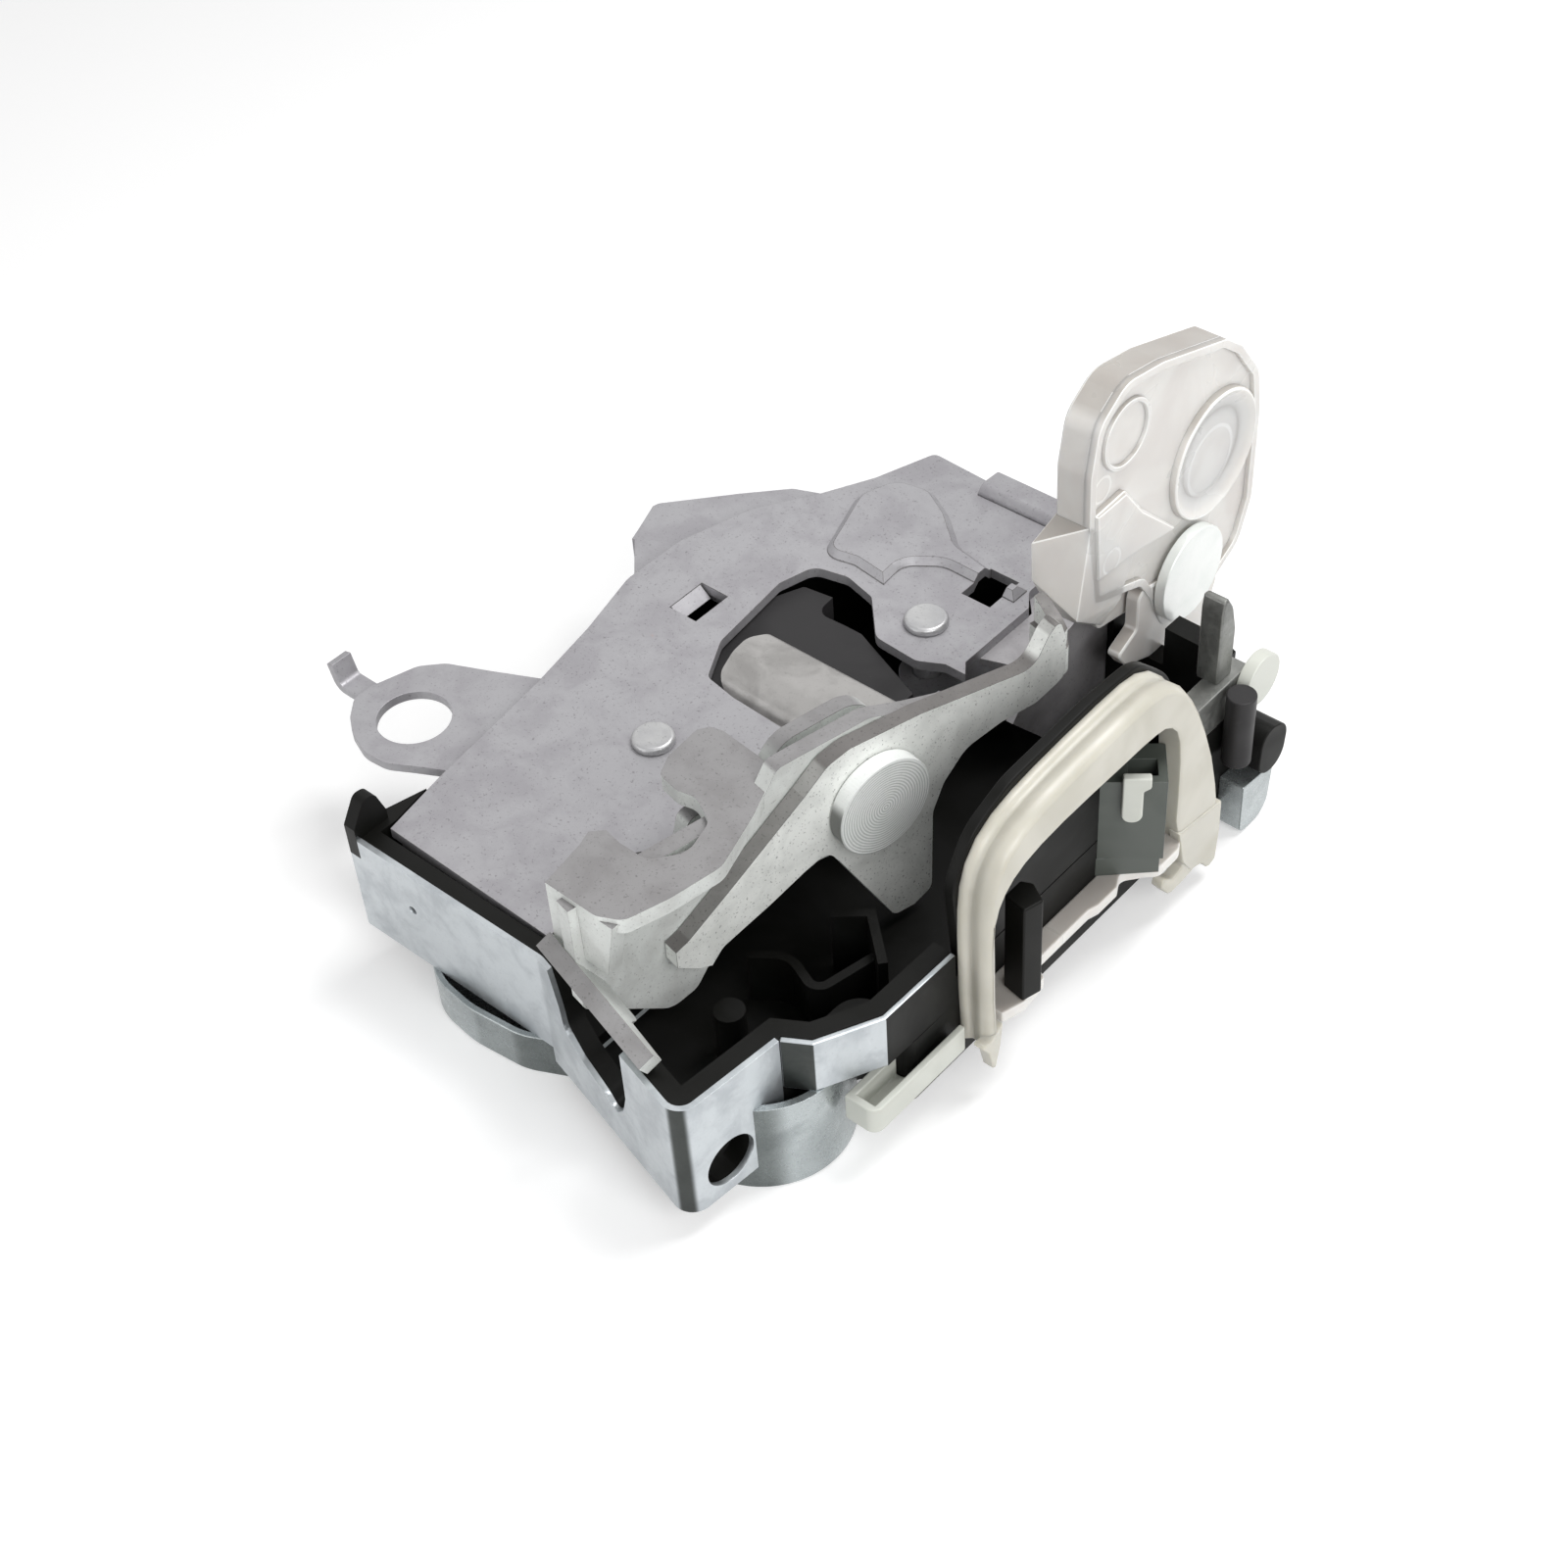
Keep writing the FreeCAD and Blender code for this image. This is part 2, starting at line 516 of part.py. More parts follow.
def lever_disc():
    """The wide-headed rivet that the white lever turns on."""
    shaft = rod(DISC_SHAFT_R, SHEET_X, WHITE_X + WHITE_T + 0.3, DISC_Y, DISC_Z, SIDE)
    head = rod(DISC_R, WHITE_X + WHITE_T + 0.2, WHITE_X + WHITE_T + 0.2 + DISC_T, DISC_Y, DISC_Z, SIDE)
    return join(shaft, head)


def white_lever():
    """The milky moulded lever: thick upper body, thin foot, boss, ring and raised panel."""
    upper = [(50.3, 34), (52.8, 19.2), (66, 16.4, 3), (70, 7, 4), (72, -5.5, 5), (88, -5, 6),
             (97, 1, 6), (100, 7, 5), (100.2, 29, 8), (97, 38.5, 6), (91, 44.5, 5), (69, 54.6, 6),
             (59, 55.8, 7), (50.2, 50.4, 6)]
    foot = [(44, 31), (44.2, 22.7), (57.5, 4, 2), (73, 0.8), (73, 31)]
    panel = [(52.8, 32.7), (60.2, 34.9), (65, 26.8), (74.5, 16.7), (66, 16.4), (53, 19.1)]
    body = slab(upper, WHITE_X, WHITE_X + WHITE_T, SIDE)
    step = slab(foot, WHITE_X, WHITE_X + WHITE_T / 2, SIDE)
    raised = slab(inset(panel, 0.8), WHITE_X + WHITE_T - 0.5, WHITE_X + WHITE_T + 0.8, SIDE)
    ring = rod(5.9, WHITE_X + WHITE_T - 0.8, WHITE_X + WHITE_T + 1, 60, 46, SIDE)
    boss = rod(10.6, WHITE_X + 1, WHITE_X + WHITE_T + 2, 86.8, 24.4, SIDE)
    bore = rod(DISC_SHAFT_R + RUN_GAP, 0, 40, DISC_Y, DISC_Z, SIDE)
    return take(join(body, step, raised, boss), ring, bore)


def guide_arch():
    """The ivory moulded channel arch with its outer rib, groove and front flange."""
    outer_band = band(ARCH_OUTER, -ARCH_T)
    inner_path = ARCH_INNER[::-1]
    front = ARCH_OUTER + inner_path
    plate = slab(front, WALL_X + ARCH_W - ARCH_FLANGE_T, WALL_X + ARCH_W, SIDE)
    channel = slab(outer_band, WALL_X, WALL_X + ARCH_W, SIDE)
    rib = slab(band(inset(ARCH_OUTER, 1.2, closed=False), -ARCH_T - 1), WALL_X, WALL_X + 1.8, SIDE)
    return join(plate, channel, rib)


def arch_wall():
    """The black upright wall behind the arch."""
    outer = inset(ARCH_OUTER[2:-4], 1.0, closed=False)
    outline = [(-10.5, -COVER_STEP)] + outer + [(50, -COVER_STEP)]
    return slab(outline, WALL_X - 2, WALL_X, SIDE)


def tilted(x, y, degrees=38):
    """Axes of the connector, which is turned in plan."""
    u = direction(degrees)
    return axes(u, Z_UP.cross(u), App.Vector(x, y, 0))


CONNECTOR = tilted(49.5, 28.2)


def connector_housing():
    """The socket block with a round side."""
    front = slab([(-5.5, 0), (5.5, 0), (5.5, 9), (-5.5, 9)], -9, 8.4, CONNECTOR)
    side = rod(6.5, -9, 5, -6, 6.6, CONNECTOR)
    socket = slab([(-0.8, 1.6), (4, 1.6), (4, 5.4), (-0.8, 5.4)], -5, 10, CONNECTOR)
    base = slab([(-9, -0.5, 3), (5, 0.8), (5, 9), (-9, 9)], COVER_TOP, -9, CONNECTOR)
    return take(join(front, side, base), socket, block(30, WALL_X, 0, 60, -30, 30))


def terminals():
    """Three blades in the socket."""
    blades = []
    for k in range(3):
        x = -0.4 + 1.5 * k
        blades.append(slab([(x, 3), (x + 0.7, 3), (x + 0.7, 3.7), (x, 3.7)], -5, 3.5, CONNECTOR))
    return blades


def connector_peg():
    """The pale key on the socket's front face."""
    outline = [(-1.8, 10.6), (2.8, 10.6), (2.8, 8.4), (1.6, 7.6), (1.6, 0.8, 1.6),
               (-1.8, 0.8, 1.6)]
    return slab(outline, 0, 1.6, axes(direction(38), Z_UP, App.Vector(49.5, 28.2, 0)))


def buffer_post():
    outline = [(48, -3.4), (52.4, -4.2), (53.4, -0.6), (50, 1.4), (48, 0.6)]
    return slab(outline, COVER_TOP, 8)


def base_cover():
    """The white plate under the connector and the post."""
    outline = [(WALL_X, -8), (51.4, -8), (52.6, -4), (52, 2), (49, 4), (49, 18), (49.6, 20),
               (49.6, 25), (48, 28, 2), (50.5, 31, 2), (52.5, 33, 2), (52.5, 40, 3), (WALL_X, 42)]
    return slab(outline, COVER_TOP - COVER_T, COVER_TOP)


def cable_tray():
    """The pale open tray below the second wall."""
    outer = slab([(41.6, -35), (47.8, -35, 2), (47.8, -12.8), (41.6, -12.8)], -20, -14.5)
    inner = slab([(43, -33.6), (46.6, -33.6), (46.6, -10), (43, -10)], -18.8, -14)
    return take(outer, inner, slab(HOUSING_LOW, -CASE_DEPTH, 0))


def end_pieces():
    """The guessed group at the right rear: block, clip, rod, cap and foot."""
    bracket = block(WALL_X - WALL_T, WALL_X, 52, 68, -COVER_STEP, 3)
    block_outline = [(60, 3), (67, 3), (68.4, 12, 1.5), (66.9, 17.5, 1.5), (61.5, 22.4), (59, 14)]
    end_block = slab(block_outline, 35, 44, SIDE)
    clip = rod(5, WALL_X, WALL_X + 2.5, 69, 0, SIDE)
    end_rod = rod(2.6, -12, 3, 48.5, 61)
    cap = slab([(64.2, -18, 4), (72, -19, 5), (73, -10, 4), (65, -7, 3)], WALL_X, WALL_X + 6, SIDE)
    foot = slab([(61.6, BASE_Z, 2), (70, BASE_Z, 4), (71, -19.5), (61.6, -18.5)],
                WALL_X, WALL_X + 5, SIDE)
    return bracket, end_block, clip, end_rod, cap, foot


def claw():
    """The fork: hub, arm, throat and outer leg."""
    return take(slab(CLAW, CLAW_TOP - CLAW_T, CLAW_TOP), rod(RIVET_R + RUN_GAP, -20, 0, CLAW_X, CLAW_Y))


CLAW = [(-33, -6, 8), (-24, -15, 8), (-15.4, -6, 7), (-15.4, 12, 5), (-14, 25, 4), (-6, 28, 4), (0, 28.4, 2),
        (0, 31.4), (-16, 37.6, 2), (-19.4, 37.6, 2), (-27, 37.2, 2), (-27.4, 42), (-31.6, 41.4, 2),
        (-34, 36, 5), (-34.5, 14, 6)]


def claw_jacket():
    """The moulded cover over the claw's fork."""
    outer = inset(CLAW, -JACKET_SKIN)
    cover = slab(outer, CLAW_TOP - CLAW_T - JACKET_SKIN, JACKET_TOP)
    bare = block(-60, 20, -40, 12, -20, 0)
    return take(cover, slab(CLAW, CLAW_TOP - CLAW_T, CLAW_TOP), bare)


def pawl():
    """The blocking lever under the claw, with its tooth at the claw's leg."""
    outline = [(-14, 46, 6), (-7, 38.6, 6), (-2, 37, 3), (1.6, 31.6), (6.4, 31.6), (6.4, 38, 3),
               (1.4, 47, 4), (6, 54, 2), (2, 57, 2), (-6, 53.6, 5)]
    arm = slab(outline, PAWL_TOP - PAWL_T, PAWL_TOP)
    tooth = slab([(2.9, 31.6), (6.4, 31.6), (6.4, 37), (2.9, 37)], PAWL_TOP - 1, CLAW_TOP)
    return take(join(arm, tooth), rod(RIVET_R + RUN_GAP, -30, 0, PAWL_X, PAWL_Y))


def coil(x, y, wire, low, high):
    """A spring's close-wound body, as one ring of the wire's width."""
    ring = rod(SPRING_R + wire / 2, low, high, x, y)
    return take(ring, rod(SPRING_R - wire / 2, low, high, x, y))


def motor_can():
    """The motor's can with its flat sides and front collar."""
    can = rod(MOTOR_R, MOTOR_START, MOTOR_END, MOTOR_Y, MOTOR_Z, SIDE)
    flats = [block(-39, -13, MOTOR_Y + MOTOR_FLAT, MOTOR_Y + 20, -40, 10),
             block(-39, -13, MOTOR_Y - 20, MOTOR_Y - MOTOR_FLAT, -40, 10)]
    collar = rod(3, MOTOR_END, MOTOR_END + 1.4, MOTOR_Y, MOTOR_Z, SIDE)
    return take(join(take(can, *flats), collar), rod(1 + RUN_GAP, -22, 0, MOTOR_Y, MOTOR_Z, SIDE))


def motor_worm():
    """The motor's shaft and worm."""
    return join(rod(1, -21, -1, MOTOR_Y, MOTOR_Z, SIDE), rod(WORM_R, -11.6, -2, MOTOR_Y, MOTOR_Z, SIDE))


def worm_wheel():
    """The wheel in mesh with the worm, with its cam pin."""
    teeth = 24
    points = []
    for k in range(teeth):
        for part, radius in ((0.0, WHEEL_R), (0.3, WHEEL_R), (0.5, WHEEL_R - 1.2), (0.8, WHEEL_R - 1.2)):
            angle = 2 * math.pi * (k + part) / teeth
            points.append((WHEEL_X + radius * math.cos(angle), WHEEL_Y + radius * math.sin(angle)))
    cam = rod(2, MOTOR_Z, MOTOR_Z + 6, WHEEL_X, WHEEL_Y + 5.5)
    wheel = join(slab(points, MOTOR_Z - 2.5, MOTOR_Z + 2.5), cam)
    return take(wheel, rod(WHEEL_PIN_R + RUN_GAP, -30, 0, WHEEL_X, WHEEL_Y))


def wheel_pin():
    return rod(WHEEL_PIN_R, FLOOR_T - CASE_LEFT_DEPTH, MOTOR_Z + 4, WHEEL_X, WHEEL_Y)


def microswitch():
    """The switch beside the claw, with its plunger."""
    body = block(-44.2, -38, 0, 12, -CASE_DEPTH + FLOOR_T, -9)
    return join(body, block(-38.5, -36.4, 5, 7, -12, -10))


save("latch_plate", latch_plate())
save("back_plate", back_plate())
save("claw_rivet", rivet(CLAW_X, CLAW_Y, CLAW_HEAD_R, -20))
save("pawl_rivet", rivet(PAWL_X, PAWL_Y, PAWL_HEAD_R, -21))
save("housing", housing())
save("case_shell", case_shell())
save("case_side", case_side())
save("left_cup", left_cup())
save("right_cup", right_cup())
save("bottom_cover", bottom_cover())
save("cover_screws", *cover_screws())
save("striker_guide", striker_guide())
save("lever_bracket", lever_bracket())
save("pivot_pin", pivot_pin())
save("front_lever", front_lever())
save("hook_lever", hook_lever())
save("side_sheet", side_sheet())
save("lever_disc", lever_disc())
save("white_lever", white_lever())
save("guide_arch", guide_arch())
save("arch_wall", arch_wall())
save("connector_housing", connector_housing())
save("terminals", *terminals())
save("connector_peg", connector_peg())
save("buffer_post", buffer_post())
save("base_cover", base_cover())
save("cable_tray", cable_tray())
END_NODES = ("end_bracket", "end_block", "end_clip", "end_rod", "end_cap", "end_foot")
for node, solid in zip(END_NODES, end_pieces()):
    save(node, solid)
save("claw", claw())
save("claw_jacket", claw_jacket())
save("pawl", pawl())
save("claw_spring", coil(CLAW_X, CLAW_Y, 2.0, -16, -12.2))
save("pawl_spring", coil(PAWL_X, PAWL_Y, 1.6, -19.4, -16.36))
save("motor_can", motor_can())
save("motor_worm", motor_worm())
save("worm_wheel", worm_wheel())
save("wheel_pin", wheel_pin())
save("microswitch", microswitch())
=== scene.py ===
import json
import math

import bmesh
import bpy
from bpy.props import FloatProperty, FloatVectorProperty, PointerProperty
from mathutils import Matrix, Vector


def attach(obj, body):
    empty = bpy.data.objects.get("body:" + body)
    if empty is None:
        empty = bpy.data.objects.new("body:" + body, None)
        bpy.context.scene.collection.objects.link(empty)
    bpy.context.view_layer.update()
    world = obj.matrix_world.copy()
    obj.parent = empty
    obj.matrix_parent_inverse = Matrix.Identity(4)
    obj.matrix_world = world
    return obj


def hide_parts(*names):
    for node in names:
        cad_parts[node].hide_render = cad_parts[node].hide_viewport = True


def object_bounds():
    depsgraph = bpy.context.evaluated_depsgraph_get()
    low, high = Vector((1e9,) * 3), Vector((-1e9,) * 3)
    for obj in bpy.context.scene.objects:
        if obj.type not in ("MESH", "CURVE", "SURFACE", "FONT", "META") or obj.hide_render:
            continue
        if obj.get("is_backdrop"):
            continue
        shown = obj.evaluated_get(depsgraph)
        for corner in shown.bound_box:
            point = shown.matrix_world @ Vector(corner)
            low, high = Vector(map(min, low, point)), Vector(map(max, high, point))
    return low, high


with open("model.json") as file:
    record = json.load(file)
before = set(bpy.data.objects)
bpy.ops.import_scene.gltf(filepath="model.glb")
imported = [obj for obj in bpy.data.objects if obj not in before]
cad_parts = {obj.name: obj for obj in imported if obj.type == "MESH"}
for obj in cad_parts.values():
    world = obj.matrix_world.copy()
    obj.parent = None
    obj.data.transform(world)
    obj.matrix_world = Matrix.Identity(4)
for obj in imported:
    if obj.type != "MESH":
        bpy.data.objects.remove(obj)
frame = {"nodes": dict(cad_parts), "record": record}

bl_info = {
    "name": "Door latch actuator",
    "version": (1, 0, 0),
    "blender": (4, 5, 0),
    "location": "View3D > Sidebar > Latch",
    "description": "Finishes the packed door latch actuator and sets up its studio",
    "category": "Object",
}

MM = 0.001
BODY_OF = {node: body for body, nodes in frame["record"]["behaviour"]["bodies"].items() for node in nodes}
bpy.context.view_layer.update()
SLOT_OF = {part["node"]: part["material_slot"] for part in frame["record"]["subparts"]}

# Where the zero of the measures taken on the photograph lies in the frame, in millimetres
DATUM = (62.9, 25.4, 2.0)

# Axes and directions that the finishes follow, with centres in millimetres
ALONG_X = (1.0, 0.0, 0.0)
UP = (0.0, 0.0, 1.0)
PIN_CENTRE = (63.55, 28.53, 12.3)
PIN_AXIS = (0.9792, -0.2028, 0.0)
# Direction of the faces on the pin head's side band that get painted shade
PIN_SHADED_SIDE = (-0.2028, -0.9792, 0.0)
DISC_CENTRE = (0.0, 104.5, 7.8)
# Direction of the faces of the skin and cups that get a painted dark reflection at their rounded corners
DARK_REFLECTION_SIDE = (0.5, -0.866, 0.0)


def screen(red, green, blue):
    """The linear colour of one that is written as it looks on screen, from 0 to 255."""
    levels = []
    for value in (red, green, blue):
        part = value / 255
        levels.append(part / 12.92 if part <= 0.04045 else ((part + 0.055) / 1.055) ** 2.4)
    return (*levels, 1.0)


# Node helpers
def new_group(name, inputs, outputs):
    """An empty shader node group with named sockets, and its input and output nodes."""
    group = bpy.data.node_groups.new(name, "ShaderNodeTree")
    for label, kind, value in inputs:
        socket = group.interface.new_socket(label, in_out="INPUT", socket_type=kind)
        if value is not None:
            socket.default_value = value
    for label, kind in outputs:
        group.interface.new_socket(label, in_out="OUTPUT", socket_type=kind)
    return group, group.nodes.new("NodeGroupInput"), group.nodes.new("NodeGroupOutput")


def feed(tree, value, socket):
    """Links an output to a socket, or sets a plain value on it."""
    if isinstance(value, bpy.types.NodeSocket):
        tree.links.new(value, socket)
    else:
        socket.default_value = value


def noise(tree, vector, scale, detail=3.0, rough=0.5, distortion=0.0):
    """Fractal noise from 0 to 1."""
    node = tree.nodes.new("ShaderNodeTexNoise")
    node.inputs["Detail"].default_value = detail
    node.inputs["Roughness"].default_value = rough
    node.inputs["Distortion"].default_value = distortion
    feed(tree, vector, node.inputs["Vector"])
    feed(tree, scale, node.inputs["Scale"])
    return node.outputs["Fac"]


def spread(tree, value, low, high, to_low=0.0, to_high=1.0):
    """A value moved smoothly from one range to another."""
    node = tree.nodes.new("ShaderNodeMapRange")
    node.interpolation_type = "SMOOTHSTEP"
    for label, number in (("Value", value), ("From Min", low), ("From Max", high),
                          ("To Min", to_low), ("To Max", to_high)):
        feed(tree, number, node.inputs[label])
    return node.outputs["Result"]


def mix(tree, mask, first, second, blend="MIX"):
    """Two colours blended by a mask."""
    node = tree.nodes.new("ShaderNodeMix")
    node.data_type = "RGBA"
    node.blend_type = blend
    feed(tree, mask, node.inputs[0])
    feed(tree, first, node.inputs[6])
    feed(tree, second, node.inputs[7])
    return node.outputs[2]


def shade(tree, mask, color, tint):
    """A colour multiplied by a tint where the mask is on."""
    return mix(tree, mask, color, tint, "MULTIPLY")


def maths(tree, operation, first, second=0.0):
    """One step of arithmetic on two values."""
    node = tree.nodes.new("ShaderNodeMath")
    node.operation = operation
    feed(tree, first, node.inputs[0])
    feed(tree, second, node.inputs[1])
    return node.outputs[0]


def vector_maths(tree, operation, first, second=None, output="Vector"):
    """One step of arithmetic on vectors."""
    node = tree.nodes.new("ShaderNodeVectorMath")
    node.operation = operation
    feed(tree, first, node.inputs[0])
    if second is not None:
        feed(tree, second, node.inputs[1])
    return node.outputs[output]


def stretched(tree, vector, scale):
    """Coordinates scaled on each axis, so that a pattern runs along one of them."""
    node = tree.nodes.new("ShaderNodeMapping")
    node.inputs["Scale"].default_value = scale
    feed(tree, vector, node.inputs["Vector"])
    return node.outputs["Vector"]


def turned_to(tree, normal, direction, low, high):
    """On where a face of the object is turned to a direction, between two cosines."""
    return spread(tree, vector_maths(tree, "DOT_PRODUCT", normal, direction, "Value"), low, high)


# Shared effects
def make_zinc_group():
    """Blotches, fine specks and scuffs of a zinced sheet, with painted shade on its upper faces and painted
    darkening on the faces turned to one side.
    """
    group, start, end = new_group(
        "Zinc finish",
        [("Vector", "NodeSocketVector", None), ("Normal", "NodeSocketVector", None),
         ("Base", "NodeSocketColor", (0.4, 0.4, 0.4, 1)),
         ("Blotch", "NodeSocketColor", (0.3, 0.3, 0.3, 1)),
         ("Speck", "NodeSocketColor", (0.1, 0.1, 0.1, 1)),
         ("Scuff", "NodeSocketColor", (0.7, 0.7, 0.7, 1)),
         ("Top tint", "NodeSocketColor", (1, 1, 1, 1)), ("Dark side", "NodeSocketVector", (0, 0, 0)),
         ("Dark tint", "NodeSocketColor", (1, 1, 1, 1)), ("Blotch size", "NodeSocketFloat", 90.0),
         ("Speck size", "NodeSocketFloat", 2200.0), ("Speck share", "NodeSocketFloat", 0.5),
         ("Rough low", "NodeSocketFloat", 0.35), ("Rough high", "NodeSocketFloat", 0.55)],
        [("Color", "NodeSocketColor"), ("Roughness", "NodeSocketFloat"), ("Height", "NodeSocketFloat")])
    inputs = start.outputs
    vector, normal = inputs["Vector"], inputs["Normal"]
    clouds = noise(group, vector, inputs["Blotch size"], 5.0, 0.6, 0.4)
    fine = noise(group, vector, inputs["Speck size"], 2.0, 0.6)
    grain = noise(group, vector, maths(group, "MULTIPLY", inputs["Speck size"], 0.35), 4.0, 0.7)
    scuffs = noise(group, stretched(group, vector, (260.0, 900.0, 260.0)), 1.0, 5.0, 0.7, 1.2)
    base = mix(group, spread(group, clouds, 0.38, 0.66), inputs["Base"], inputs["Blotch"])
    specks = maths(group, "MULTIPLY", spread(group, fine, 0.6, 0.72), inputs["Speck share"])
    color = mix(group, specks, base, inputs["Speck"])
    worn = maths(group, "MULTIPLY", spread(group, scuffs, 0.62, 0.8), 0.55)
    color = mix(group, worn, color, inputs["Scuff"])
    # Painted shade: the upper faces are darkened by a tint, for how the light falls on them.
    color = shade(group, turned_to(group, normal, UP, 0.55, 0.9), color, inputs["Top tint"])
    # Painted shade and dark reflection: the faces turned to a set side are darkened by a tint.
    painted_side = turned_to(group, normal, inputs["Dark side"], 0.86, 0.97)
    color = shade(group, painted_side, color, inputs["Dark tint"])
    group.links.new(color, end.inputs["Color"])
    rough = spread(group, grain, 0.3, 0.7, inputs["Rough low"], inputs["Rough high"])
    group.links.new(rough, end.inputs["Roughness"])
    height = maths(group, "ADD", grain, maths(group, "MULTIPLY", clouds, 0.6))
    group.links.new(height, end.inputs["Height"])
    return group


def make_plastic_group():
    """Moulded plastic with soft flow clouds, fine texture, pale dust and painted shade on its upper faces.
    """
    group, start, end = new_group(
        "Moulded finish",
        [("Vector", "NodeSocketVector", None), ("Normal", "NodeSocketVector", None),
         ("Base", "NodeSocketColor", (0.1, 0.1, 0.1, 1)),
         ("Flow", "NodeSocketColor", (0.15, 0.15, 0.15, 1)),
         ("Dust", "NodeSocketColor", (0.5, 0.5, 0.5, 1)), ("Top tint", "NodeSocketColor", (1, 1, 1, 1)),
         ("Flow size", "NodeSocketFloat", 60.0), ("Dust share", "NodeSocketFloat", 0.1),
         ("Rough low", "NodeSocketFloat", 0.3), ("Rough high", "NodeSocketFloat", 0.5)],
        [("Color", "NodeSocketColor"), ("Roughness", "NodeSocketFloat"), ("Height", "NodeSocketFloat")])
    inputs = start.outputs
    vector = inputs["Vector"]
    flow = noise(group, vector, inputs["Flow size"], 3.0, 0.5, 0.8)
    fine = noise(group, vector, 1900.0, 2.0, 0.5)
    dust = noise(group, vector, 520.0, 6.0, 0.75)
    base = mix(group, spread(group, flow, 0.35, 0.68), inputs["Base"], inputs["Flow"])
    specks = maths(group, "MULTIPLY", spread(group, dust, 0.6, 0.78), inputs["Dust share"])
    color = mix(group, specks, base, inputs["Dust"])
    # Painted shade: the upper faces are darkened by a tint, for how the light falls on them.
    color = shade(group, turned_to(group, inputs["Normal"], UP, 0.55, 0.9), color, inputs["Top tint"])
    group.links.new(color, end.inputs["Color"])
    rough = spread(group, flow, 0.3, 0.7, inputs["Rough low"], inputs["Rough high"])
    group.links.new(rough, end.inputs["Roughness"])
    group.links.new(fine, end.inputs["Height"])
    return group


def make_axis_group():
    """How far a point lies from an axis."""
    group, start, end = new_group(
        "Axis distance",
        [("Vector", "NodeSocketVector", None), ("Centre", "NodeSocketVector", (0, 0, 0)),
         ("Axis", "NodeSocketVector", (1, 0, 0))],
        [("Distance", "NodeSocketFloat")])
    arm = vector_maths(group, "SUBTRACT", start.outputs["Vector"], start.outputs["Centre"])
    across = vector_maths(group, "CROSS_PRODUCT", arm, start.outputs["Axis"])
    group.links.new(vector_maths(group, "LENGTH", across, None, "Value"), end.inputs["Distance"])
    return group


MAKERS = {"zinc": make_zinc_group, "moulded": make_plastic_group, "axis": make_axis_group}
GROUPS = {}


def effect(name):
    """The node group of a shared effect, built at its first use."""
    if name not in GROUPS:
        GROUPS[name] = MAKERS[name]()
    return GROUPS[name]


def axis_distance(tree, vector, centre, axis):
    """Distance in metres from an axis through a centre given in millimetres."""
    node = tree.nodes.new("ShaderNodeGroup")
    node.node_tree = effect("axis")
    tree.links.new(vector, node.inputs["Vector"])
    node.inputs["Centre"].default_value = [value * MM for value in centre]
    node.inputs["Axis"].default_value = axis
    return node.outputs["Distance"]


def turned_rings(tree, vector, centre, axis, spacing):
    """Fine rings left by turning, from 0 to 1."""
    away = axis_distance(tree, vector, centre, axis)
    turns = maths(tree, "MULTIPLY", away, 2 * math.pi / (spacing * MM))
    return spread(tree, maths(tree, "SINE", turns), -1.0, 1.0)


def round_mark(tree, vector, centre, axis, radius, width):
    """A thin round line, as a punch or an ejector leaves."""
    away = maths(tree, "SUBTRACT", axis_distance(tree, vector, centre, axis), radius * MM)
    return spread(tree, maths(tree, "ABSOLUTE", away), width * 0.4 * MM, width * MM, 1.0, 0.0)


# Marks of single pieces: each takes a material's colour and height, and gives both back
def pin_rings(tree, vector, color, height):
    """Turning rings on the pivot pin's head."""
    rings = turned_rings(tree, vector, PIN_CENTRE, PIN_AXIS, 0.5)
    tinted = shade(tree, spread(tree, rings, 0.0, 1.0, 0.45, 0.0), color, screen(130, 132, 130))
    return tinted, maths(tree, "ADD", maths(tree, "MULTIPLY", height, 0.3), rings)


def disc_marks(tree, vector, color, height):
    """Faint rings on the white lever's disc."""
    rings = maths(tree, "MULTIPLY", turned_rings(tree, vector, DISC_CENTRE, ALONG_X, 2.4), 0.6)
    return color, maths(tree, "ADD", maths(tree, "MULTIPLY", height, 0.5), rings)


# Centre, radius and line width of each ejector's mark, in millimetres
EJECTOR_MARKS = (((0.0, 80.1, 39.8), 2.3, 0.35), ((0.0, 81.7, 24.8), 2.3, 0.35),
                 ((0.0, 112.2, 26.4), 6.4, 0.5))


def lever_marks(tree, vector, color, height):
    """The ejectors' round marks on the milky lever."""
    marks = 0.0
    for centre, radius, width in EJECTOR_MARKS:
        mark = round_mark(tree, vector, centre, ALONG_X, radius, width)
        marks = maths(tree, "MAXIMUM", marks, mark)
    marked = mix(tree, maths(tree, "MULTIPLY", marks, 0.7), color, screen(242, 241, 238))
    return marked, maths(tree, "SUBTRACT", height, maths(tree, "MULTIPLY", marks, 6.0))


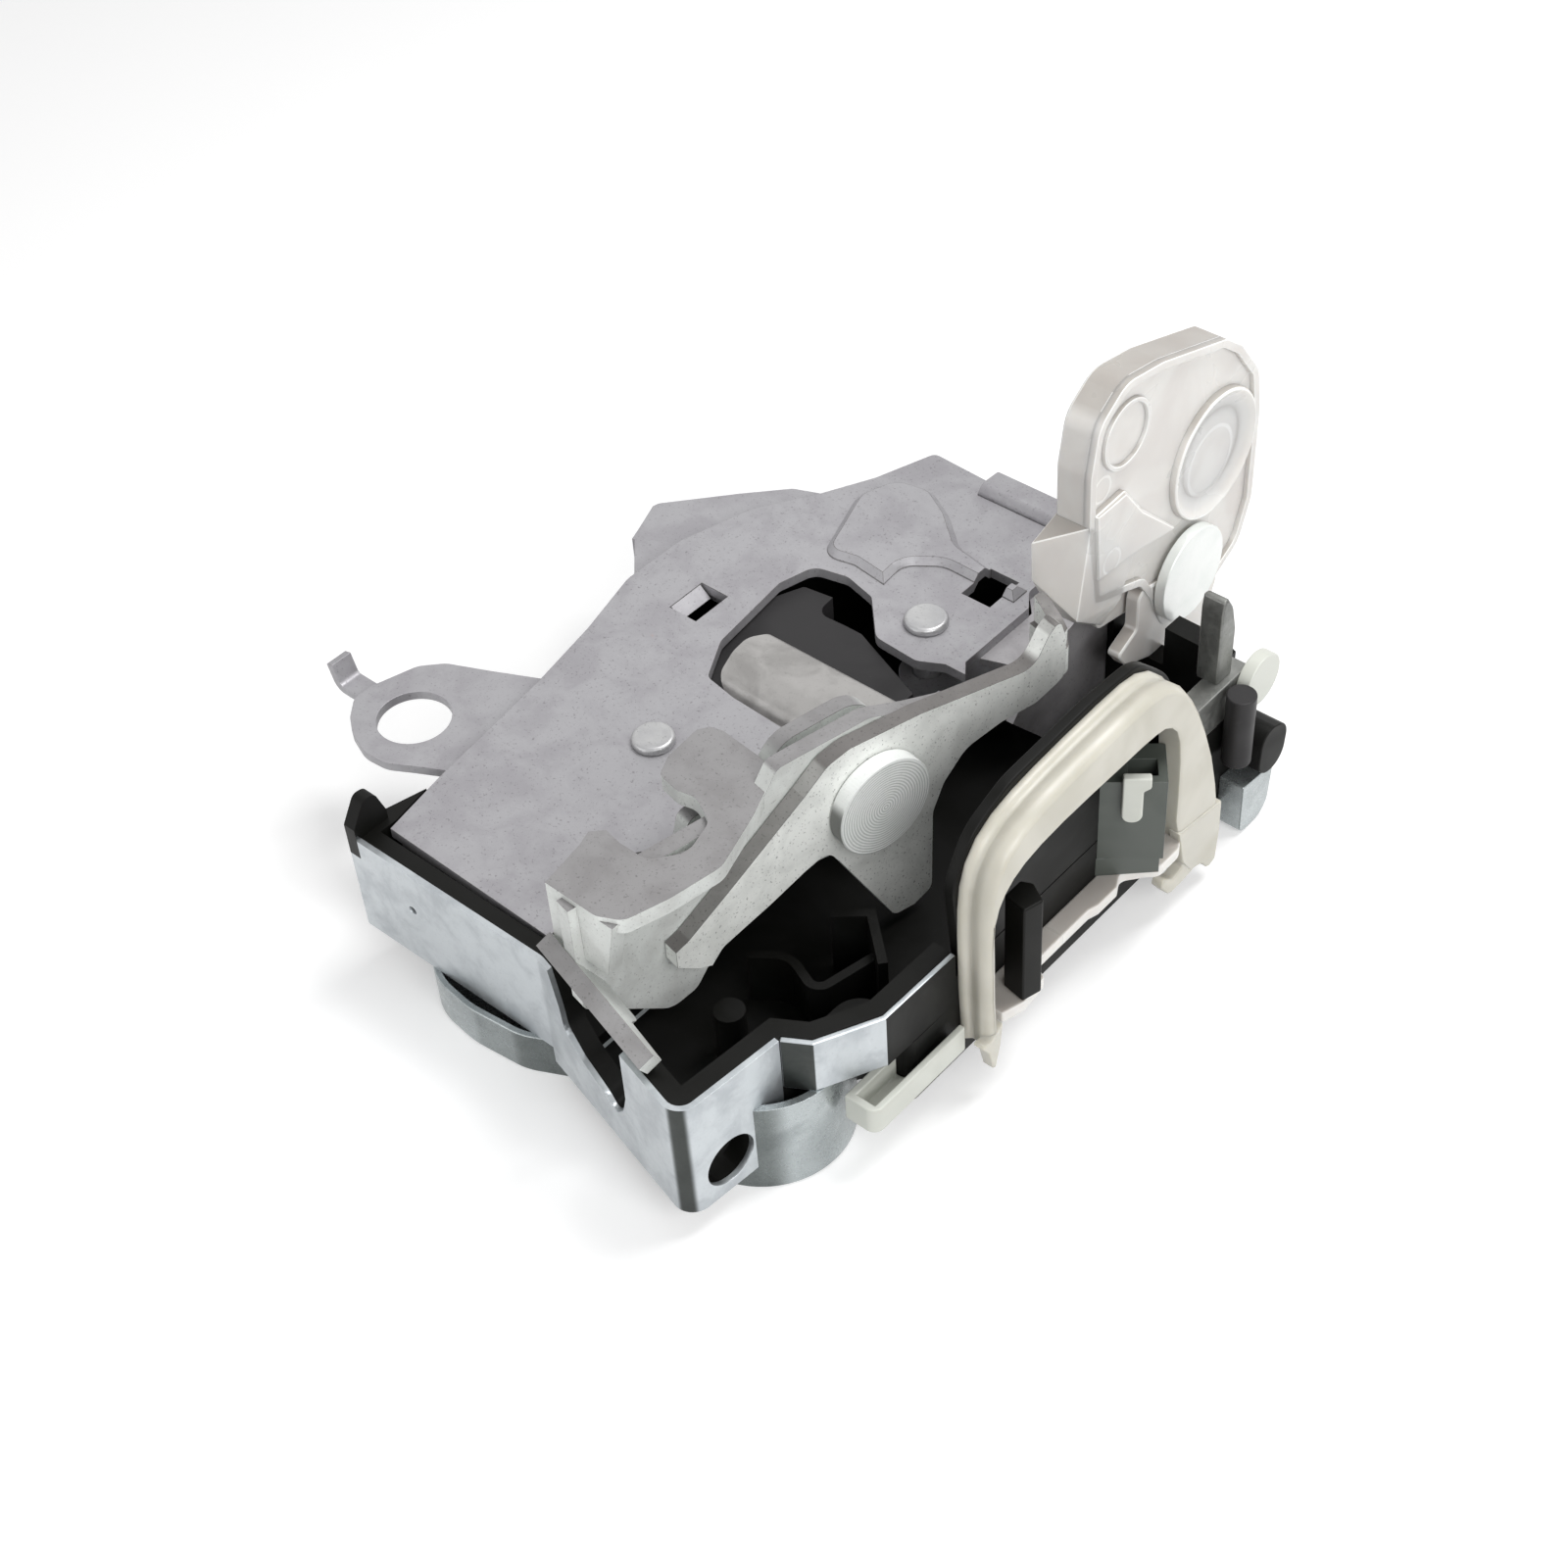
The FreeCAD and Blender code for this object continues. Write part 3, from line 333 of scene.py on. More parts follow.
# Materials
def finish_material(name, kind, values, metallic, bump, extra=None, **shader_values):
    """A material from one of the shared effects with its own values, and a bump in millimetres."""
    if name in bpy.data.materials:
        return bpy.data.materials[name]
    material = bpy.data.materials.new(name)
    material.use_nodes = True
    tree = material.node_tree
    shader = tree.nodes["Principled BSDF"]
    coordinates = tree.nodes.new("ShaderNodeTexCoord")
    look = tree.nodes.new("ShaderNodeGroup")
    look.node_tree = effect(kind)
    tree.links.new(coordinates.outputs["Object"], look.inputs["Vector"])
    tree.links.new(coordinates.outputs["Normal"], look.inputs["Normal"])
    for label, value in values.items():
        look.inputs[label].default_value = value
    color = look.outputs["Color"]
    height = look.outputs["Height"]
    if extra:
        color, height = extra(tree, coordinates.outputs["Object"], color, height)
    tree.links.new(color, shader.inputs["Base Color"])
    tree.links.new(look.outputs["Roughness"], shader.inputs["Roughness"])
    shader.inputs["Metallic"].default_value = metallic
    for label, value in shader_values.items():
        shader.inputs[label.replace("_", " ")].default_value = value
    relief = tree.nodes.new("ShaderNodeBump")
    relief.inputs["Strength"].default_value = 1.0
    relief.inputs["Distance"].default_value = bump * MM
    tree.links.new(height, relief.inputs["Height"])
    tree.links.new(relief.outputs["Normal"], shader.inputs["Normal"])
    return material


WHITE = (255, 255, 255)


def zinc(name, base, blotch, speck, scuff, share=0.5, rough=(0.35, 0.55), metallic=0.75, bump=0.02,
         size=90.0, top_shade=WHITE, side=(0.0, 0.0, 0.0), dark=WHITE, extra=None):
    """A zinced or bare steel, with painted shade on its upper faces and painted darkening on those that
    look to one side.
    """
    values = {"Base": screen(*base), "Blotch": screen(*blotch), "Speck": screen(*speck),
              "Scuff": screen(*scuff), "Top tint": screen(*top_shade), "Dark side": side,
              "Dark tint": screen(*dark), "Blotch size": size, "Speck share": share,
              "Rough low": rough[0], "Rough high": rough[1]}
    return finish_material(name, "zinc", values, metallic, bump, extra)


def moulded(name, base, flow, dust, share=0.1, rough=(0.35, 0.5), bump=0.006, top_shade=WHITE, extra=None,
            **shader_values):
    """A moulded plastic, with painted shade on its upper faces."""
    values = {"Base": screen(*base), "Flow": screen(*flow), "Dust": screen(*dust), "Dust share": share,
              "Top tint": screen(*top_shade), "Rough low": rough[0], "Rough high": rough[1]}
    return finish_material(name, "moulded", values, 0.0, bump, extra, **shader_values)


IVORY = {"Subsurface_Weight": 0.3, "Subsurface_Radius": (1.0, 0.9, 0.7), "Subsurface_Scale": 1.5 * MM}
MILKY = {"Subsurface_Weight": 0.4, "Subsurface_Radius": (1.0, 0.9, 0.8), "Subsurface_Scale": 2.5 * MM}

FINISHES = {
    "plate_steel": lambda: zinc(
        "Face plate zinc", (166, 165, 168), (155, 153, 157), (92, 88, 89), (196, 196, 198),
        share=0.5, rough=(0.42, 0.58), metallic=0.5, size=120.0),
    # Painted shade on the lever zinc's upper faces.
    "lever_zinc": lambda: zinc(
        "Lever zinc", (216, 219, 216), (200, 202, 199), (116, 114, 114), (236, 237, 236),
        share=0.5, rough=(0.4, 0.56), metallic=0.12, size=140.0, top_shade=(168, 164, 167)),
    # Painted light: the front lever's zinc is a brighter copy of the lever zinc, with painted shade on its
    # upper faces.
    "front_zinc_painted_lit": lambda: zinc(
        "Front lever zinc", (240, 242, 238), (222, 224, 220), (120, 118, 118), (250, 250, 250),
        share=0.7, rough=(0.4, 0.56), metallic=0.08, size=140.0, top_shade=(116, 112, 112)),
    "sheared_edge": lambda: zinc(
        "Sheared zinc edge", (104, 102, 100), (88, 85, 84), (52, 50, 49), (206, 206, 204),
        share=0.7, rough=(0.4, 0.6), metallic=0.1, size=260.0),
    "sheet_zinc": lambda: zinc(
        "Side sheet zinc", (186, 184, 186), (168, 165, 168), (112, 110, 110), (206, 206, 206),
        share=0.4, rough=(0.34, 0.5), metallic=0.3, size=120.0),
    "rivet_steel": lambda: zinc(
        "Turned steel", (188, 188, 188), (170, 170, 172), (112, 112, 112), (222, 222, 222),
        share=0.35, rough=(0.32, 0.46), metallic=0.7),
    # Painted shade on the side band of the pin's head; its rings are turning marks.
    "pin_steel": lambda: zinc(
        "Pin steel", (250, 252, 250), (242, 246, 243), (150, 150, 150), (255, 255, 255),
        share=0.2, rough=(0.3, 0.42), metallic=0.05, bump=0.03,
        side=PIN_SHADED_SIDE, dark=(120, 120, 118), extra=pin_rings),
    "disc_steel": lambda: zinc(
        "Disc steel", (238, 240, 238), (228, 232, 229), (196, 202, 198), (250, 252, 250),
        share=0.2, rough=(0.3, 0.4), metallic=0.3, extra=disc_marks),
    # Painted dark reflection on the skin's faces turned round its rounded corner, and painted shade on its
    # upper faces.
    "case_zinc": lambda: zinc(
        "Formed skin zinc", (192, 197, 200), (172, 177, 181), (140, 142, 148), (218, 222, 225),
        share=0.2, rough=(0.3, 0.42), size=160.0, side=DARK_REFLECTION_SIDE, dark=(84, 86, 82)),
    # Painted dark reflection on the cups' faces turned the same way as the skin's corner.
    "cup_steel": lambda: zinc(
        "Drawn cup steel", (172, 178, 179), (150, 156, 157), (100, 100, 104), (206, 208, 210),
        share=0.25, rough=(0.22, 0.36), metallic=0.8, side=DARK_REFLECTION_SIDE, dark=(170, 172, 170)),
    "guide_steel": lambda: zinc(
        "Guide steel", (170, 168, 166), (150, 148, 146), (92, 90, 88), (206, 206, 204),
        share=0.2, rough=(0.3, 0.46), metallic=0.5, size=130.0),
    "end_metal": lambda: zinc(
        "End block zinc", (136, 137, 134), (114, 115, 112), (72, 71, 70), (196, 197, 194), share=0.4),
    "spring_steel": lambda: zinc(
        "Spring wire", (150, 150, 152), (130, 130, 132), (80, 80, 80), (190, 190, 190), share=0.2),
    "motor_steel": lambda: zinc(
        "Motor can", (180, 180, 182), (160, 160, 163), (110, 110, 110), (215, 215, 215), share=0.2),
    "terminal_brass": lambda: zinc(
        "Terminal brass", (196, 176, 120), (178, 156, 100), (120, 104, 60), (226, 210, 160), share=0.2),
    "black_plastic": lambda: moulded(
        "Black housing plastic", (15, 15, 13), (21, 21, 20), (70, 70, 72),
        rough=(0.35, 0.55), Specular_IOR_Level=0.12),
    "jacket_plastic": lambda: moulded(
        "Claw jacket plastic", (44, 43, 44), (36, 35, 36), (96, 94, 96),
        share=0.15, rough=(0.4, 0.55), Specular_IOR_Level=0.25),
    "ivory_plastic": lambda: moulded(
        "Ivory arch plastic", (196, 193, 182), (184, 181, 169), (220, 217, 206),
        share=0.25, rough=(0.3, 0.45), **IVORY),
    # Painted highlight: a paler colour on the arch's rounded edges.
    "ivory_painted_edge_highlight": lambda: moulded(
        "Ivory arch edges", (230, 227, 216), (222, 218, 206), (244, 242, 234),
        share=0.2, rough=(0.3, 0.45)),
    # Painted shade on the milky lever's upper faces; the ejector marks are its own.
    "milky_plastic": lambda: moulded(
        "Milky lever plastic", (221, 219, 215), (212, 208, 204), (240, 240, 238),
        share=0.25, rough=(0.25, 0.4), top_shade=(206, 203, 200), extra=lever_marks, **MILKY),
    # Painted highlight: a paler colour on the milky lever's rounded edges.
    "milky_painted_edge_highlight": lambda: moulded(
        "Milky lever edges", (240, 239, 236), (232, 230, 226), (250, 250, 250),
        share=0.2, rough=(0.25, 0.4), **MILKY),
    "connector_plastic": lambda: moulded(
        "Connector plastic", (76, 81, 76), (68, 73, 68), (120, 124, 120)),
    "peg_plastic": lambda: moulded(
        "Peg plastic", (204, 206, 198), (194, 196, 188), (226, 228, 222), share=0.2),
    "gear_plastic": lambda: moulded(
        "Gear plastic", (214, 210, 198), (204, 199, 186), (232, 230, 222), share=0.2),
}

# Nodes that look otherwise than their slot (the front lever with a brighter, painted-lit copy of the lever
# zinc), and nodes whose rounded edges show the sheared metal
LOOK_OF = {"pivot_pin": "pin_steel", "lever_disc": "disc_steel", "side_sheet": "sheet_zinc",
           "front_lever": "front_zinc_painted_lit", "end_rod": "jacket_plastic"}
SHEARED = ("hook_lever", "front_lever", "latch_plate", "lever_bracket")

# What merges or dissolves in a copied mesh, and the angles past which an edge is rounded
MERGE_DISTANCE = 1e-6
SPIN_MERGE_DISTANCE = 1e-7
FLAT_ANGLE = math.radians(0.6)
HULL_FLAT_ANGLE = 0.05
EDGE_ANGLE = math.radians(32)
ARCH_EDGE_ANGLE = math.radians(50)
BLADE_EDGE = 0.1 * MM


# Finishing a piece
def merged_copy(node):
    """A copy of a node's mesh with its triangles joined and its flat faces made whole."""
    mesh = frame["nodes"][node].data.copy()
    work = bmesh.new()
    work.from_mesh(mesh)
    bmesh.ops.remove_doubles(work, verts=work.verts, dist=MERGE_DISTANCE)
    bmesh.ops.dissolve_limit(work, angle_limit=FLAT_ANGLE, verts=work.verts, edges=work.edges)
    work.to_mesh(mesh)
    work.free()
    return mesh


def modelled(work):
    """The mesh of a modelled piece, with its faces pointing outwards."""
    bmesh.ops.recalc_face_normals(work, faces=work.faces)
    mesh = bpy.data.meshes.new("modelled")
    work.to_mesh(mesh)
    work.free()
    return mesh


def finish_piece(mesh, node, looks, edge=0.0, angle=EDGE_ANGLE):
    """The finished piece over one CAD node: smooth round faces, a small edge radius and its finish."""
    name = node + "_finished"
    mesh.name = name
    mesh.materials.clear()
    for look in looks:
        mesh.materials.append(FINISHES[look]())
    for polygon in mesh.polygons:
        polygon.use_smooth = True
        polygon.material_index = 0
    piece = bpy.data.objects.new(name, mesh)
    bpy.context.scene.collection.objects.link(piece)
    if edge:
        bevel = piece.modifiers.new("Edge", "BEVEL")
        bevel.width = edge
        bevel.segments = 2
        bevel.limit_method = "ANGLE"
        bevel.angle_limit = angle
        bevel.harden_normals = True
        # The rounded edges take the last finish in the list: sheared metal on the steel levers and plates,
        # and a painted highlight on the arch and the milky lever.
        bevel.material = len(looks) - 1
    piece.modifiers.new("Flats", "WEIGHTED_NORMAL").keep_sharp = True
    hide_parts(node)
    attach(piece, BODY_OF[node])
    return piece


def dress(node, edge):
    """Finishes one CAD node with its own shape."""
    looks = [LOOK_OF.get(node, SLOT_OF[node])]
    if node in SHEARED:
        looks.append("sheared_edge")
    return finish_piece(merged_copy(node), node, looks, edge)


def dress_all(nodes, edge):
    """Finishes several CAD nodes with one edge radius."""
    for node in nodes:
        dress(node, edge)


# Shapes: sizes are in millimetres, and side_point turns them into metres of the frame
def side_point(x, y, z):
    """A point in metres from the measures taken on the photograph, in millimetres."""
    return Vector((x + DATUM[0], y + DATUM[1], z + DATUM[2])) * MM


def lever_point(along, across, height):
    """A point in metres from its place along the levers, out along their pin, and up."""
    x = along * -PIN_AXIS[1] + across * PIN_AXIS[0]
    y = along * PIN_AXIS[0] + across * PIN_AXIS[1]
    return side_point(x, y, height)


def arc_corners(points, steps=5):
    """The outline's points, with the corners that have a radius made round."""
    result = []
    for i, point in enumerate(points):
        here = Vector(point[:2])
        if len(point) < 3:
            result.append(here)
            continue
        before = Vector(points[i - 1][:2]) - here
        after = Vector(points[(i + 1) % len(points)][:2]) - here
        half = before.angle(after) / 2
        reach = min(point[2] / math.tan(half), 0.48 * before.length, 0.48 * after.length)
        radius = reach * math.tan(half)
        start = here + before.normalized() * reach
        end = here + after.normalized() * reach
        inward = (before.normalized() + after.normalized()).normalized()
        centre = here + inward * (radius / math.sin(half))
        for k in range(steps + 1):
            spoke = (start - centre).lerp(end - centre, k / steps).normalized() * radius
            result.append(centre + spoke)
    return result


def moved_in(flat, amount):
    """An outline with each point moved inwards, whichever way round it runs."""
    area = sum(spot.cross(flat[k - 1]) for k, spot in enumerate(flat))
    turn = -1.0 if area > 0 else 1.0
    result = []
    for k, spot in enumerate(flat):
        along = (flat[(k + 1) % len(flat)] - flat[k - 1]).normalized()
        result.append(spot + Vector((-along.y, along.x)) * amount * turn)
    return result


def at_depth(flat, x):
    """An outline in the side plane as a loop of points at one distance."""
    return [side_point(x, spot.x, spot.y) for spot in flat]


def loft(work, loops, capped=True):
    """Bridges loops of as many points each, and caps both ends or joins the last loop to the first."""
    rings = []
    for loop in loops:
        corners = [work.verts.new(point) for point in loop]
        rings.append([work.edges.new((corners[k - 1], corners[k])) for k in range(len(corners))])
    faces = []
    for lower, upper in zip(rings, rings[1:]):
        faces += bmesh.ops.bridge_loops(work, edges=lower + upper)["faces"]
    if capped:
        for ring in rings[0], rings[-1]:
            faces += bmesh.ops.contextual_create(work, geom=ring)["faces"]
    else:
        faces += bmesh.ops.bridge_loops(work, edges=rings[-1] + rings[0])["faces"]
    return faces


def upright(work, points, levels):
    """A solid from an outline in the side plane, at several distances with an inset for each."""
    flat = arc_corners(points)
    return loft(work, [at_depth(moved_in(flat, inset), x) for x, inset in levels])


def turned(work, centre, profile, steps=64):
    """Spins a profile of distances and radii about an axis across the side plane."""
    start = [work.verts.new(side_point(x, centre[0] + radius, centre[1])) for x, radius in profile]
    edges = [work.edges.new(pair) for pair in zip(start, start[1:])]
    bmesh.ops.spin(work, geom=start + edges, cent=side_point(0, *centre), axis=(1, 0, 0),
                   dvec=(0, 0, 0), angle=2 * math.pi, steps=steps, use_merge=True)
    bmesh.ops.remove_doubles(work, verts=work.verts, dist=SPIN_MERGE_DISTANCE)


def boss(work, centre, x0, x1, radius, dish):
    """A round boss on the side plane, with an edge round and a dished face."""
    turned(work, centre, [
        (x0, 0.0), (x0, radius), (x1 - 0.5, radius), (x1 - 0.15, radius - 0.15), (x1, radius - 0.4),
        (x1 - 0.1, radius - 0.8), (x1 - dish * 0.6, radius - 1.8), (x1 - dish, radius * 0.6),
        (x1 - dish * 1.2, radius * 0.25), (x1 - dish * 1.2, 0.0)])


# Sections of the front lever's curled end: outer and inner place along and across, low and high
CURL = (((40.0, 19.8), (40.0, 17.2), 10.6, 22.6), ((43.4, 19.4), (42.6, 17.0), 11.4, 20.8),
        ((45.6, 17.9), (43.9, 16.2), 12.0, 19.9), ((46.5, 15.6), (44.2, 15.0), 12.2, 20.2),
        ((46.7, 13.0), (44.4, 12.9), 12.2, 21.6), ((46.6, 10.8), (44.6, 10.8), 12.2, 22.8))


def curl_end(piece):
    """Adds the front lever's end, curled back and taller than its web."""
    work = bmesh.new()
    work.from_mesh(piece.data)
    loops = []
    for outer, inner, low, high in CURL:
        loops.append([lever_point(*outer, low), lever_point(*outer, high),
                      lever_point(*inner, high), lever_point(*inner, low)])
    faces = loft(work, loops)
    bmesh.ops.recalc_face_normals(work, faces=faces)
    for face in faces:
        face.smooth = True
    work.to_mesh(piece.data)
    work.free()


# The milky lever: where its back lies, how thick it is, and the width of the rim round its face
WHITE_X = 17.0
WHITE_T = 7.0
WHITE_TOP = WHITE_X + WHITE_T
RIM_WIDTH = 1.5
RIM_FOOT = WHITE_X + 5.5

# Its outlines in the side plane: y, z and the radius of a round corner
LEVER_BODY = [(50.4, 30), (50.2, 43, 8), (52, 52, 6), (59, 56.6, 6), (69, 54.9, 8), (87.6, 49.0, 3),
              (92.6, 45, 4), (98.6, 37, 5), (100.2, 28, 10), (100.2, 9, 8), (97, 0.6, 6), (88, -4.2, 6),
              (74, -4.6, 5), (69, 6, 5), (66, 10.6, 3), (52.8, 15.6)]
LEVER_ARMS = [(66, 9, 2), (66, 0.6, 1), (60.6, -2, 1), (63.4, -6, 1.5), (72.6, -9.5, 3), (79, -16, 2),
              (85.5, -17, 2), (88, -12, 2), (91, -4, 2), (88, 4)]
LEVER_PANEL = [(51.6, 34.6), (59.8, 35, 1), (65, 28, 1), (75.2, 17.8), (63.2, 19.6), (52.7, 20.6)]
LEVER_LOWER = [(57.5, 4, 2), (73, 1), (76, -8, 2), (82, -6, 3), (80, 4), (70, 10), (60, 9)]

# The corners of its flared foot
LEVER_FOOT = [(17, 43.9, 30.8), (17, 44.2, 23), (17, 50, 12), (17, 57.4, 4.4), (24, 50.6, 33),
              (24, 52.7, 19.5), (24, 47.6, 15.2), (24, 60, 11.6), (20.5, 60, 4.2), (17, 51, 33),
              (17, 64, 20), (23.8, 64, 20)]


def add_hull(work, points):
    """Adds the solid that spans a set of points."""
    hull = bmesh.new()
    for spot in points:
        hull.verts.new(side_point(*spot))
    bmesh.ops.convex_hull(hull, input=hull.verts)
    bmesh.ops.dissolve_limit(hull, angle_limit=HULL_FLAT_ANGLE, verts=hull.verts, edges=hull.edges)
    scrap = bpy.data.meshes.new("hull")
    hull.to_mesh(scrap)
    hull.free()
    work.from_mesh(scrap)
    bpy.data.meshes.remove(scrap)


def build_white_lever(edge):
    """The milky lever: leaning back, rimmed face, dished boss, ring, lower panel and flared foot."""
    work = bmesh.new()
    upright(work, LEVER_BODY,
            [(WHITE_X, 0.4), (WHITE_X + 0.4, 0.0), (WHITE_X + 5.6, 0.0), (WHITE_X + 6.0, 0.25)])
    rim = arc_corners(LEVER_BODY)
    inner = moved_in(rim, RIM_WIDTH)
    loft(work, [at_depth(rim, RIM_FOOT), at_depth(rim, WHITE_TOP), at_depth(inner, WHITE_TOP),
                at_depth(inner, RIM_FOOT)], capped=False)
    boss(work, (86.7, 26.2), WHITE_X + 1, WHITE_TOP + 0.4, 12.2, 1.6)
    upright(work, LEVER_ARMS, [(WHITE_X + 4.2, 0.0), (WHITE_X + 6.6, 0.0), (WHITE_X + 6.8, 0.3)])
    turned(work, (60.5, 45.6), [(RIM_FOOT, 6.6), (WHITE_X + 6.7, 6.3), (WHITE_X + 6.7, 5.6),
                                (RIM_FOOT, 5.2), (RIM_FOOT, 6.6)], 40)
    upright(work, LEVER_PANEL, [(WHITE_X + 5, 0.0), (WHITE_TOP, 0.0), (WHITE_TOP + 0.5, 0.5)])
    add_hull(work, LEVER_FOOT)
    upright(work, LEVER_LOWER, [(WHITE_X, 0.0), (WHITE_X + 3.4, 0.0)])
    return finish_piece(modelled(work), "white_lever", ("milky_plastic", "milky_painted_edge_highlight"), edge)


# Sections along the arch: outer y and z, inner y and z, and how far the inner lip reaches back
ARCH_STATIONS = (
    (-11.0, -20.0, -9.0, -20.0, 0.6), (-11.6, -8.0, -9.8, -8.0, 0.6), (-11.8, 4.0, -10.0, 4.0, 0.6),
    (-11.7, 10.0, -9.8, 8.6, 0.6), (-11.2, 14.6, -8.8, 11.6, 0.6), (-9.8, 18.6, -7.4, 13.6, 0.6),
    (-7.2, 21.8, -5.4, 15.2, 0.6), (-3.4, 23.9, -2.6, 16.4, 0.6), (1.5, 25.1, 1.5, 17.2, 0.6),
    (7.0, 25.8, 7.0, 17.6, 0.6), (14.0, 26.3, 14.0, 17.7, 0.6), (23.0, 26.7, 22.0, 17.6, 0.6),
    (29.0, 26.7, 27.6, 17.6, 0.8), (33.0, 26.0, 31.0, 17.4, 1.4), (36.4, 24.2, 33.6, 16.9, 2.2),
    (39.2, 21.4, 35.6, 15.6, 3.0), (41.8, 17.6, 37.2, 13.6, 3.8), (44.2, 13.0, 38.2, 10.6, 4.2),
    (46.6, 7.4, 38.8, 6.0, 4.4), (49.2, 0.0, 39.0, -1.0, 4.4), (51.2, -8.0, 39.0, -8.0, 4.4),
    (52.4, -15.0, 40.4, -14.0, 4.4), (52.8, -21.0, 43.6, -20.0, 4.4))

# The prongs of the arch's feet, each with how far it stands proud, so that no faces coincide
LEFT_PRONG = [(-11.4, -17), (-13.6, -16.4, 0.6), (-11.6, -19.5), (-10.2, -25.4, 0.4), (-8.6, -19.5),
              (-8.2, -15)]
RIGHT_PRONG = [(39.4, -11), (52, -13), (52.2, -20, 3), (51.6, -26.6, 0.8), (49.4, -27.2, 0.8),
               (47.4, -24.4, 2), (44, -23.4, 2), (41, -19)]
INNER_PRONG = [(46, -23.8), (42, -24.6, 2), (38, -24.6, 1.5), (35.2, -20.6, 1), (36.4, -19.4, 0.6),
               (39, -21.6, 1.2), (41.6, -20.6, 1), (42.2, -14), (46, -14)]
ARCH_PRONGS = ((LEFT_PRONG, 0.2), (RIGHT_PRONG, 0.35), (INNER_PRONG, 0.1))


def arch_section(width, lip):
    """The arch's section, as distances out and depths in: lip, groove, round band and inner lip."""
    return [(45.3, 1.6), (45.3, 0.2), (45.6, 0.0), (46.4, 0.0), (46.8, 0.4), (47.3, 0.8), (47.9, 0.7),
            (48.8, 0.15), (49.8, 0.1), (50.8, 0.5), (51.3, 1.0), (51.5, 1.5), (51.5, width - 0.7),
            (51.25, width - 0.1), (50.9, width), (51.4 - lip, width), (51.2 - lip, width - 0.5),
            (50.2 - lip * 0.2, min(2.2, width - 0.6)), (47.0, min(2.0, width - 0.3))]


def build_arch(edge):
    """The ivory channel: outer lip, groove and round band, swept over the arch with a forked right foot."""
    work = bmesh.new()
    loops = []
    for outer_y, outer_z, inner_y, inner_z, lip in ARCH_STATIONS:
        outer = Vector((outer_y, outer_z))
        inner = Vector((inner_y, inner_z))
        width = (inner - outer).length
        inward = (inner - outer).normalized()
        ring = []
        for x, depth in arch_section(width, lip):
            spot = outer + inward * min(depth, max(width, 0.5))
            ring.append(side_point(x, spot.x, spot.y))
        loops.append(ring)
    loft(work, loops)
    for prong, proud in ARCH_PRONGS:
        upright(work, prong, [(49.4 + proud, 0.0), (51.2 + proud, 0.0), (51.5 + proud, 0.3)])
    return finish_piece(modelled(work), "guide_arch", ("ivory_plastic", "ivory_painted_edge_highlight"), edge * 0.6,
                        ARCH_EDGE_ANGLE)


END_BLOCK = [(60.2, 3), (64.6, 3), (64.8, 13, 1), (63.6, 18, 1), (61, 22.2, 1.2), (60.2, 18)]


def build_end_block():
    """The small block of the end group, with bevelled faces."""
    work = bmesh.new()
    upright(work, END_BLOCK, [(39.6, 0.5), (40.1, 0.0), (43.6, 0.0), (44.0, 0.4)])
    return finish_piece(modelled(work), "end_block", ("end_metal",))


# Settings
class SheetSettings(bpy.types.PropertyGroup):
    """Edge radii of the steel sheets and the moulded pieces."""

    sheet_edge: FloatProperty(
        name="Sheet edge", description="Edge radius of stamped sheets",
        default=0.25 * MM, min=0.0, max=MM, unit="LENGTH")
    plastic_edge: FloatProperty(
        name="Plastic edge", description="Edge radius of moulded pieces",
        default=0.35 * MM, min=0.0, max=MM, unit="LENGTH")


class StudioSettings(bpy.types.PropertyGroup):
    """Camera and lights."""

    lens: FloatProperty(
        name="Lens", description="Focal length of the camera", default=56.88, min=10.0, unit="CAMERA")
    key: FloatProperty(
        name="Key light", description="Power of the lamp above", default=3.0, min=0.0, unit="POWER")
    fill: FloatProperty(
        name="Fill light", description="Power of the lamp at the right", default=3.75, min=0.0,
        unit="POWER")
    front: FloatProperty(
        name="Front light", description="Power of the low lamp in front", default=0.65, min=0.0,
        unit="POWER")
    ambient: FloatProperty(
        name="Ambient", description="Strength of the light from all round", default=0.3, min=0.0)
    floor: FloatVectorProperty(
        name="Floor", description="Colour of the floor", subtype="COLOR", size=3,
        default=(0.8, 0.8, 0.8), min=0.0, max=1.0)


# Operators for the pieces
class LATCH_OT_sheets(bpy.types.Operator):
    """Finish the face plate, the back plate, the bright guide and the rivets"""

    bl_idname = "latch.sheets"
    bl_label = "Face sheets"

    def execute(self, context):
        edge = context.scene.latch_sheets.sheet_edge
        dress_all(("latch_plate", "back_plate", "claw_rivet", "pawl_rivet", "striker_guide"), edge)
        return {"FINISHED"}


class LATCH_OT_tub(bpy.types.Operator):
    """Finish the black tub, its zinced skin, the cups and the cover"""

    bl_idname = "latch.tub"
    bl_label = "Tub and skin"

    def execute(self, context):
        settings = context.scene.latch_sheets
        dress_all(("housing", "bottom_cover"), settings.plastic_edge)
        dress_all(("case_shell", "case_side", "left_cup", "right_cup", "cover_screws"),
                  settings.sheet_edge)
        return {"FINISHED"}


class LATCH_OT_levers(bpy.types.Operator):
    """Finish the steel levers, their bracket and pin, and the side sheet"""

    bl_idname = "latch.levers"
    bl_label = "Steel levers"

    def execute(self, context):
        edge = context.scene.latch_sheets.sheet_edge
        dress_all(("lever_bracket", "pivot_pin", "side_sheet"), edge)
        dress("hook_lever", 2 * edge)
        curl_end(dress("front_lever", 2 * edge))
        return {"FINISHED"}


class LATCH_OT_white_lever(bpy.types.Operator):
    """Finish the milky lever and its disc"""

    bl_idname = "latch.white_lever"
    bl_label = "White lever"

    def execute(self, context):
        build_white_lever(context.scene.latch_sheets.plastic_edge)
        dress("lever_disc", context.scene.latch_sheets.sheet_edge)
        return {"FINISHED"}


